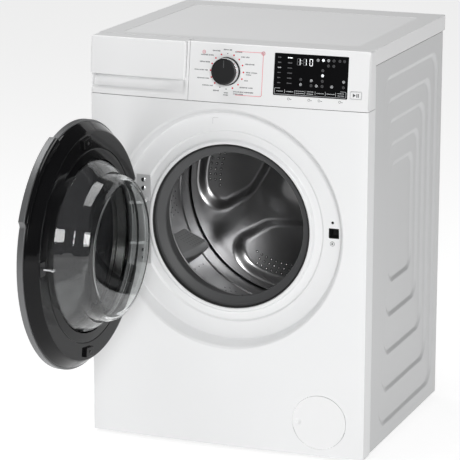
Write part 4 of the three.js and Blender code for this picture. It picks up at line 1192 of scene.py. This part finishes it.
def door_bosses():
    """Moulded boxes at the top and bottom of the inner frame, and the screws round it."""
    boxes, screws = [], []
    head = rounded(on_door([(0, 43.2, 0), (2.0, 43.2, 0), (3.4, 42.6, 0.8), (3.4, 40.0, 0),
                            (0, 40.0, 0)]), 3, False)
    for angle in (84, 276):
        turn = math.radians(angle)
        box = rounded_box(f"boss_{angle}", (-16, 16), (DOOR_FRONT + 34, DOOR_FRONT + 42), (204, 223), 1.2)
        lift = Matrix.Translation((0, 0, PORT_Z * MM))
        box.data.transform(lift @ Matrix.Rotation(math.pi / 2 - turn, 4, "Y"))
        boxes.append(box)
        centre = (213 * math.cos(turn), PORT_Z + 213 * math.sin(turn))
        screws.append(turned(f"screw_{angle}", head, 16, centre, False))
    dressed(swung(joined("door_moulded_boxes", boxes)), "black", "door", "black_gloss")
    dressed(swung(joined("door_frame_screws", screws)), "black_satin", "door", "zinc_steel")


def door_bowl():
    """The pressed glass bowl, one closed body with even wall thickness."""
    thick = 4.2
    outer = [(185.5, 26.6, 0.8), (185.5, 30.4, 0.8), (176.5, 30.4, 1), (172.8, 37.5, 6), (163, 54, 14),
             (150.5, 68, 12), (146.5, 86, 14), (141, 99, 9), (129, 104.5, 12), (0, 107, 0)]
    inner = [(0, 107 - thick, 0), (127.5, 104 - thick, 10), (136.6, 96, 7), (142.2, 84.5, 12),
             (146.4, 66, 10), (159, 51.5, 12), (168.4, 37, 6), (169.4, 26.6, 0.8)]
    path = rounded(on_door(outer + inner))
    first = next(i for i, (radius, _) in enumerate(path) if radius == 0)
    path = path[first + 1:] + path[:first + 1]
    bowl = turned("door_glass_bowl", path, 240, closed=False, smooth_angle=60)
    dressed(swung(bowl), "glass", "door", "clear_glass", ["door_glass"])


def latch_hook():
    """The bright catch at the door's free side."""
    def block(name, x, y, z, radius):
        return rounded_box(name, (LOCK_X + x[0], LOCK_X + x[1]), y, (LOCK_Z + z[0], LOCK_Z + z[1]), radius)

    plate = block("latch_plate", (-16, 4), (DOOR_FRONT + 35, DOOR_FRONT + 38.4), (-16, 12), 0.8)
    stem = block("latch_stem", (-4, 4), (DOOR_FRONT + 34, 14), (-3, 3), 0.8)
    dressed(swung(joined("latch_seat", [plate, stem])), "black_satin", "door", "black_gloss")
    tip = block("latch_tip", (-3.2, 3.2), (12, 37), (-2.0, 2.0), 0.8)
    nose = block("latch_nose", (-3.2, 7.5), (32, 37), (-2.2, 2.2), 1.2)
    hook = swung(joined("latch_hook", [tip, nose]))
    dressed(hook, "silver", "door", "zinc_steel", ["door_latch_hook"])


def hinge_details():
    screws = []
    for z in (PORT_Z + 84, PORT_Z + 66, PORT_Z - 66, PORT_Z - 84):
        path = rounded([(0, 18.2, 0), (3.2, 18.2, 0), (5.2, 19.4, 1), (5.2, 20.6, 0), (0, 20.6, 0)], 3, False)
        screws.append(turned(f"hinge_screw_{z:.0f}", path, 24, (-192, z), False))
    dressed(joined("hinge_screws", screws), "silver", "cabinet", "zinc_steel")


# ---- Seal and drum --------------------------------------------------------------------------


def door_seal():
    path = rounded([
        (174.6, 28.5, 1), (170.8, 28.5, 1), (169.2, 30.2, 1), (167.6, 34.2, 2), (164.6, 35.2, 1),
        (152, 42, 2.5), (150.2, 45.2, 1.5), (152.5, 47.6, 1.5), (166, 53, 3), (164.8, 72, 4),
        (164.8, 97.5, 1), (168.2, 97.5, 1), (168.4, 62, 4), (174.6, 36, 3)], 5)
    seal = turned("door_seal_bellows", path, 220)
    seal.data.materials.append(LOOKS["rubber"])
    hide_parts("door_gasket")
    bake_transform(seal)
    lip = rounded([(171.4, 19.6, 0.4), (170.2, 19.0, 0.8), (168.0, 22.4, 1.2), (168.4, 27.6, 1),
                   (171.4, 27.6, 0.4)], 4)
    dressed(turned("door_seal_lip", lip, 220), "black_rubber", "cabinet", "black_rubber")


def spoke_gap(x, z):
    """Distance sideways from the nearest spoke's middle line, on the drum's back."""
    gap = 1e9
    for angle in SPOKE_ANGLES:
        turn = math.radians(angle + 1.5)
        if x * math.cos(turn) + z * math.sin(turn) > 0:
            gap = min(gap, abs(-x * math.sin(turn) + z * math.cos(turn)))
    return gap


def cornered(first, second, radius):
    """How far inside two edges a place is, with their corner rounded."""
    if first < radius and second < radius:
        return radius - math.hypot(radius - first, radius - second)
    return min(first, second)


def petal_level(x, z):
    """0 on the spokes, hub and edge of the drum's back, up to 1 on the floor of a pressed petal."""
    radius = math.hypot(x, z)
    sideways = spoke_gap(x, z) - 25
    level = min(cornered(sideways, radius - 62, 52), cornered(sideways, 1.4 * (228 - radius), 95))
    return smooth_step(level / 31)


PETAL_DEPTH = 15


def drum_back():
    rings, steps = 110, 360
    edge = DRUM_RADIUS - 2.4
    points = [(0, DRUM_REAR - 6, PORT_Z)]
    for r in range(1, rings + 1):
        radius = edge * r / rings
        for s in range(steps):
            angle = 2 * math.pi * s / steps
            x, z = radius * math.cos(angle), radius * math.sin(angle)
            crown = 6 * (1 - smooth_step((radius - 20) / 60))
            level = PETAL_DEPTH * (petal_level(x, z) - smooth_step((edge - 1 - radius) / 3))
            points.append((x, DRUM_REAR - crown + level, PORT_Z + z))
    faces = [(0, 1 + (s + 1) % steps, 1 + s) for s in range(steps)]
    faces += [tuple(1 + i for i in face) for face in grid_faces(steps, rings, True)]
    back = thickened(face_out(mesh_object("drum_back_pressing", points, faces, 60), FORWARD), 0.8)
    dressed(back, "steel", "drum", "drum_steel", ["drum_back"])


def drum_wall():
    path = rounded([
        (168.2, 110, 1), (171, 107.6, 2), (177, 108.4, 2.5), (182, 112.5, 3), (226, 118.5, 8),
        (244.5, 137, 12), (244.5, 176, 2), (243.3, 180, 2), (243.3, 348, 2), (241.4, 353, 2),
        (241.4, 357, 2), (244.2, 363, 3), (244.2, 408, 3), (245.2, 412, 2), (245.2, 430, 0.4),
        (246.4, 430, 0.4), (246.4, 136, 8), (228, 116.5, 6), (181, 111.3, 2), (169, 112.2, 0.5)], 4)
    # The darker wall steel is painted shade inside the drum.
    dressed(turned("drum_wall", path, 300), "shaded_wall_steel", "drum", "drum_steel", ["drum_shell"])


def dome(centre, out, radius, height, points, faces, sides=10, rings=3):
    """Adds a small closed dome at a place, standing along a direction."""
    out = Vector(out).normalized()
    across = out.orthogonal().normalized()
    up = out.cross(across)
    start = len(points)
    centre = Vector(centre)
    for r in range(rings):
        turn = math.pi / 2 * r / rings
        for s in range(sides):
            angle = 2 * math.pi * s / sides
            arm = across * math.cos(angle) + up * math.sin(angle)
            points.append(tuple(centre + arm * radius * math.cos(turn) + out * height * math.sin(turn)))
    points.append(tuple(centre + out * height))
    points.append(tuple(centre - out * 0.3))
    tip, base = len(points) - 2, len(points) - 1
    faces += [tuple(start + i for i in face) for face in grid_faces(sides, rings, True)]
    for s in range(sides):
        t = (s + 1) % sides
        faces.append((start + (rings - 1) * sides + s, start + (rings - 1) * sides + t, tip))
        faces.append((start + t, start + s, base))


def perforations():
    """Perforations: raised domes on each petal's floor in near-white steel as a painted highlight, over black
    discs of painted shade, and black dots of painted shade in staggered rows round the wall.
    """
    domes, holes = ([], []), ([], [])
    for spoke in SPOKE_ANGLES:
        for row in range(3):
            radius = 201 - 12 * row
            for column in range(-8, 9 - row % 2):
                angle = math.radians(spoke + 61.5) + (column + 0.5 * (row % 2)) * 12.2 / radius
                place = (radius * math.cos(angle), DRUM_REAR - 0.1, PORT_Z + radius * math.sin(angle))
                # A black disc under each dome: painted shade round the perforation.
                dome(place, (0, -1, 0), 3.1, 0.35, *holes, 12, 1)
                dome((place[0], place[1] - 0.2, place[2]), (0, -1, 0), 2.1, 2.0, *domes)
    # The domes are drum steel coloured near white as a painted highlight.
    dressed(mesh_object("drum_back_dome_highlights", *domes, 60), "dome_highlight_steel", "drum", "drum_steel")
    # The black discs are painted shade for the holes of the perforations.
    dressed(mesh_object("drum_back_hole_shade_discs", *holes, 60), "black_satin", "drum", "drum_steel")
    points, faces = [], []
    for row, y in enumerate(spaced(190, 322, 12)):
        for column in range(96):
            angle = 2 * math.pi * (column + 0.5 * (row % 2)) / 96
            if any(abs((math.degrees(angle) - spoke + 180) % 360 - 180) < 12 for spoke in SPOKE_ANGLES):
                continue
            if (column // 4) % 2:
                continue
            x, z = 243.4 * math.cos(angle), 243.4 * math.sin(angle)
            # Small black domes as painted shade for the holes through the wall.
            dome((x, y, PORT_Z + z), (-x, 0, -z), 1.9, 0.9, points, faces, 8, 2)
    dressed(mesh_object("drum_wall_hole_shade_dots", points, faces, 60), "black_satin", "drum", "drum_steel")


def lifters():
    """Three hollow-looking paddles, with rows of small black dots as painted shade for their drain holes."""
    for number, angle in enumerate(SPOKE_ANGLES, 1):
        turn = Matrix.Translation((0, 0, PORT_Z * MM)) @ Matrix.Rotation(math.radians(90 - angle), 4, "Y")
        seat = DRUM_RADIUS - 4.5
        crest = seat - 39
        section = rounded([(-37, seat - 1, 2), (-28, crest, 6), (-13, crest, 6), (37, seat - 1, 2)], 5)
        points, count = [], len(section)
        for y, share in ((176, 0.06), (184, 0.28), (248, 1.0), (322, 1.0), (328, 0.9)):
            points += [(x * (0.55 + 0.45 * share), y, seat - (seat - z) * share) for x, z in section]
        faces = grid_faces(count, 5, True)
        faces += [tuple(range(count)), tuple(range(len(points) - 1, len(points) - 1 - count, -1))]
        paddle = mesh_object(f"drum_paddle_{number}", points, faces, 30)
        paddle.data.transform(turn)
        softened(paddle, 1.5, 50, 3)
        dressed(paddle, "lifter", "drum", "grey_plastic", [f"drum_lifter_{number}"])
        points, faces = [], []
        flank = Vector((39, 0, -48)).normalized()
        for row in range(6):
            for column in range(6):
                x = -8 + 6.2 * row
                # Small black domes as painted shade for the paddle's holes.
                dome((x, 258 + 11.5 * column, crest + 0.76 * (x + 13)), flank, 1.5, 0.3, points, faces, 6, 1)
        holes = mesh_object(f"drum_paddle_hole_shade_dots_{number}", points, faces, 60)
        holes.data.transform(turn)
        dressed(holes, "black_satin", "drum", "grey_plastic")


# ---- CAD nodes that keep their own shape ----------------------------------------------------

KEPT = {
    "zinc": ("back_panel", "rear_service_cover", "base_frame", "top_brace", "tub_spring_left",
             "tub_spring_right", "damper_rod_left", "damper_rod_right", "motor_pulley", "drum_shaft",
             "drum_bearing"),
    "hinge": ("door_hinge_bracket", "door_hinge_pin"),
    "cast": ("motor", "drum_spider", "drum_pulley"),
    "black_rubber": ("foot_front_left", "foot_front_right", "foot_rear_left", "foot_rear_right", "drive_belt",
                     "sump_hose", "cord_gland", "door_lock"),
    "plastic": ("detergent_tray", "inlet_valve"),
    "grey": ("damper_cylinder_left", "damper_cylinder_right", "drain_pump", "pump_filter_cap", "tub_front",
             "tub_rear"),
    "light_grey": ("dispenser_housing", "drain_outlet"),
    "concrete": ("counterweight_front", "counterweight_top"),
    "steel": ("heating_element",),
}
KEPT_EDGES = {
    "door_hinge_bracket": 1.2, "detergent_tray": 0.8, "back_panel": 0.4, "rear_service_cover": 0.6,
    "inlet_valve": 1.0, "drain_outlet": 0.8, "cord_gland": 0.8, "motor": 2.0, "counterweight_top": 3.0,
    "dispenser_housing": 0.6, "pump_filter_cap": 1.0, "drain_pump": 1.5, "base_frame": 0.8,
}


def dress_kept_nodes():
    for look, names in KEPT.items():
        for name in names:
            node = frame["nodes"][name]
            node.data.materials.clear()
            node.data.materials.append(LOOKS[look])
            for polygon in node.data.polygons:
                polygon.use_smooth = True
            node.data.set_sharp_from_angle(angle=math.radians(32))
            if name in KEPT_EDGES:
                softened(node, KEPT_EDGES[name], 32, 2)


# ---- Everything -----------------------------------------------------------------------------

add_camera()
LOOKS = make_looks()
add_studio()
add_light("front_box", (2.0, -4.4, 2.3), (0, 0, 0.5), (1.8, 1.8), 134)
add_light("top_box", (-0.8, 0.2, 3.6), (0, 0.2, 0.8), (3.0, 2.4), 68)
for build_piece in (front_panel, control_fascia, drawer_surround, drawer_front, dial_marks, program_dial,
                    display, start_key):
    build_piece()
side_panel(-1, "side_skin_left", "side_panel_left")
side_panel(1, "side_skin_right", "side_panel_right")
for build_piece in (worktop, filter_cover, recess_marks, door_rim, door_cover, door_inner, door_bosses,
                    door_bowl, latch_hook, hinge_details, door_seal, drum_back, drum_wall, perforations,
                    lifters, dress_kept_nodes):
    build_piece()

boxes = {"cad": CAD_BOX, "visual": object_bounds()}
{name: [list(corner) for corner in box] for name, box in boxes.items()}
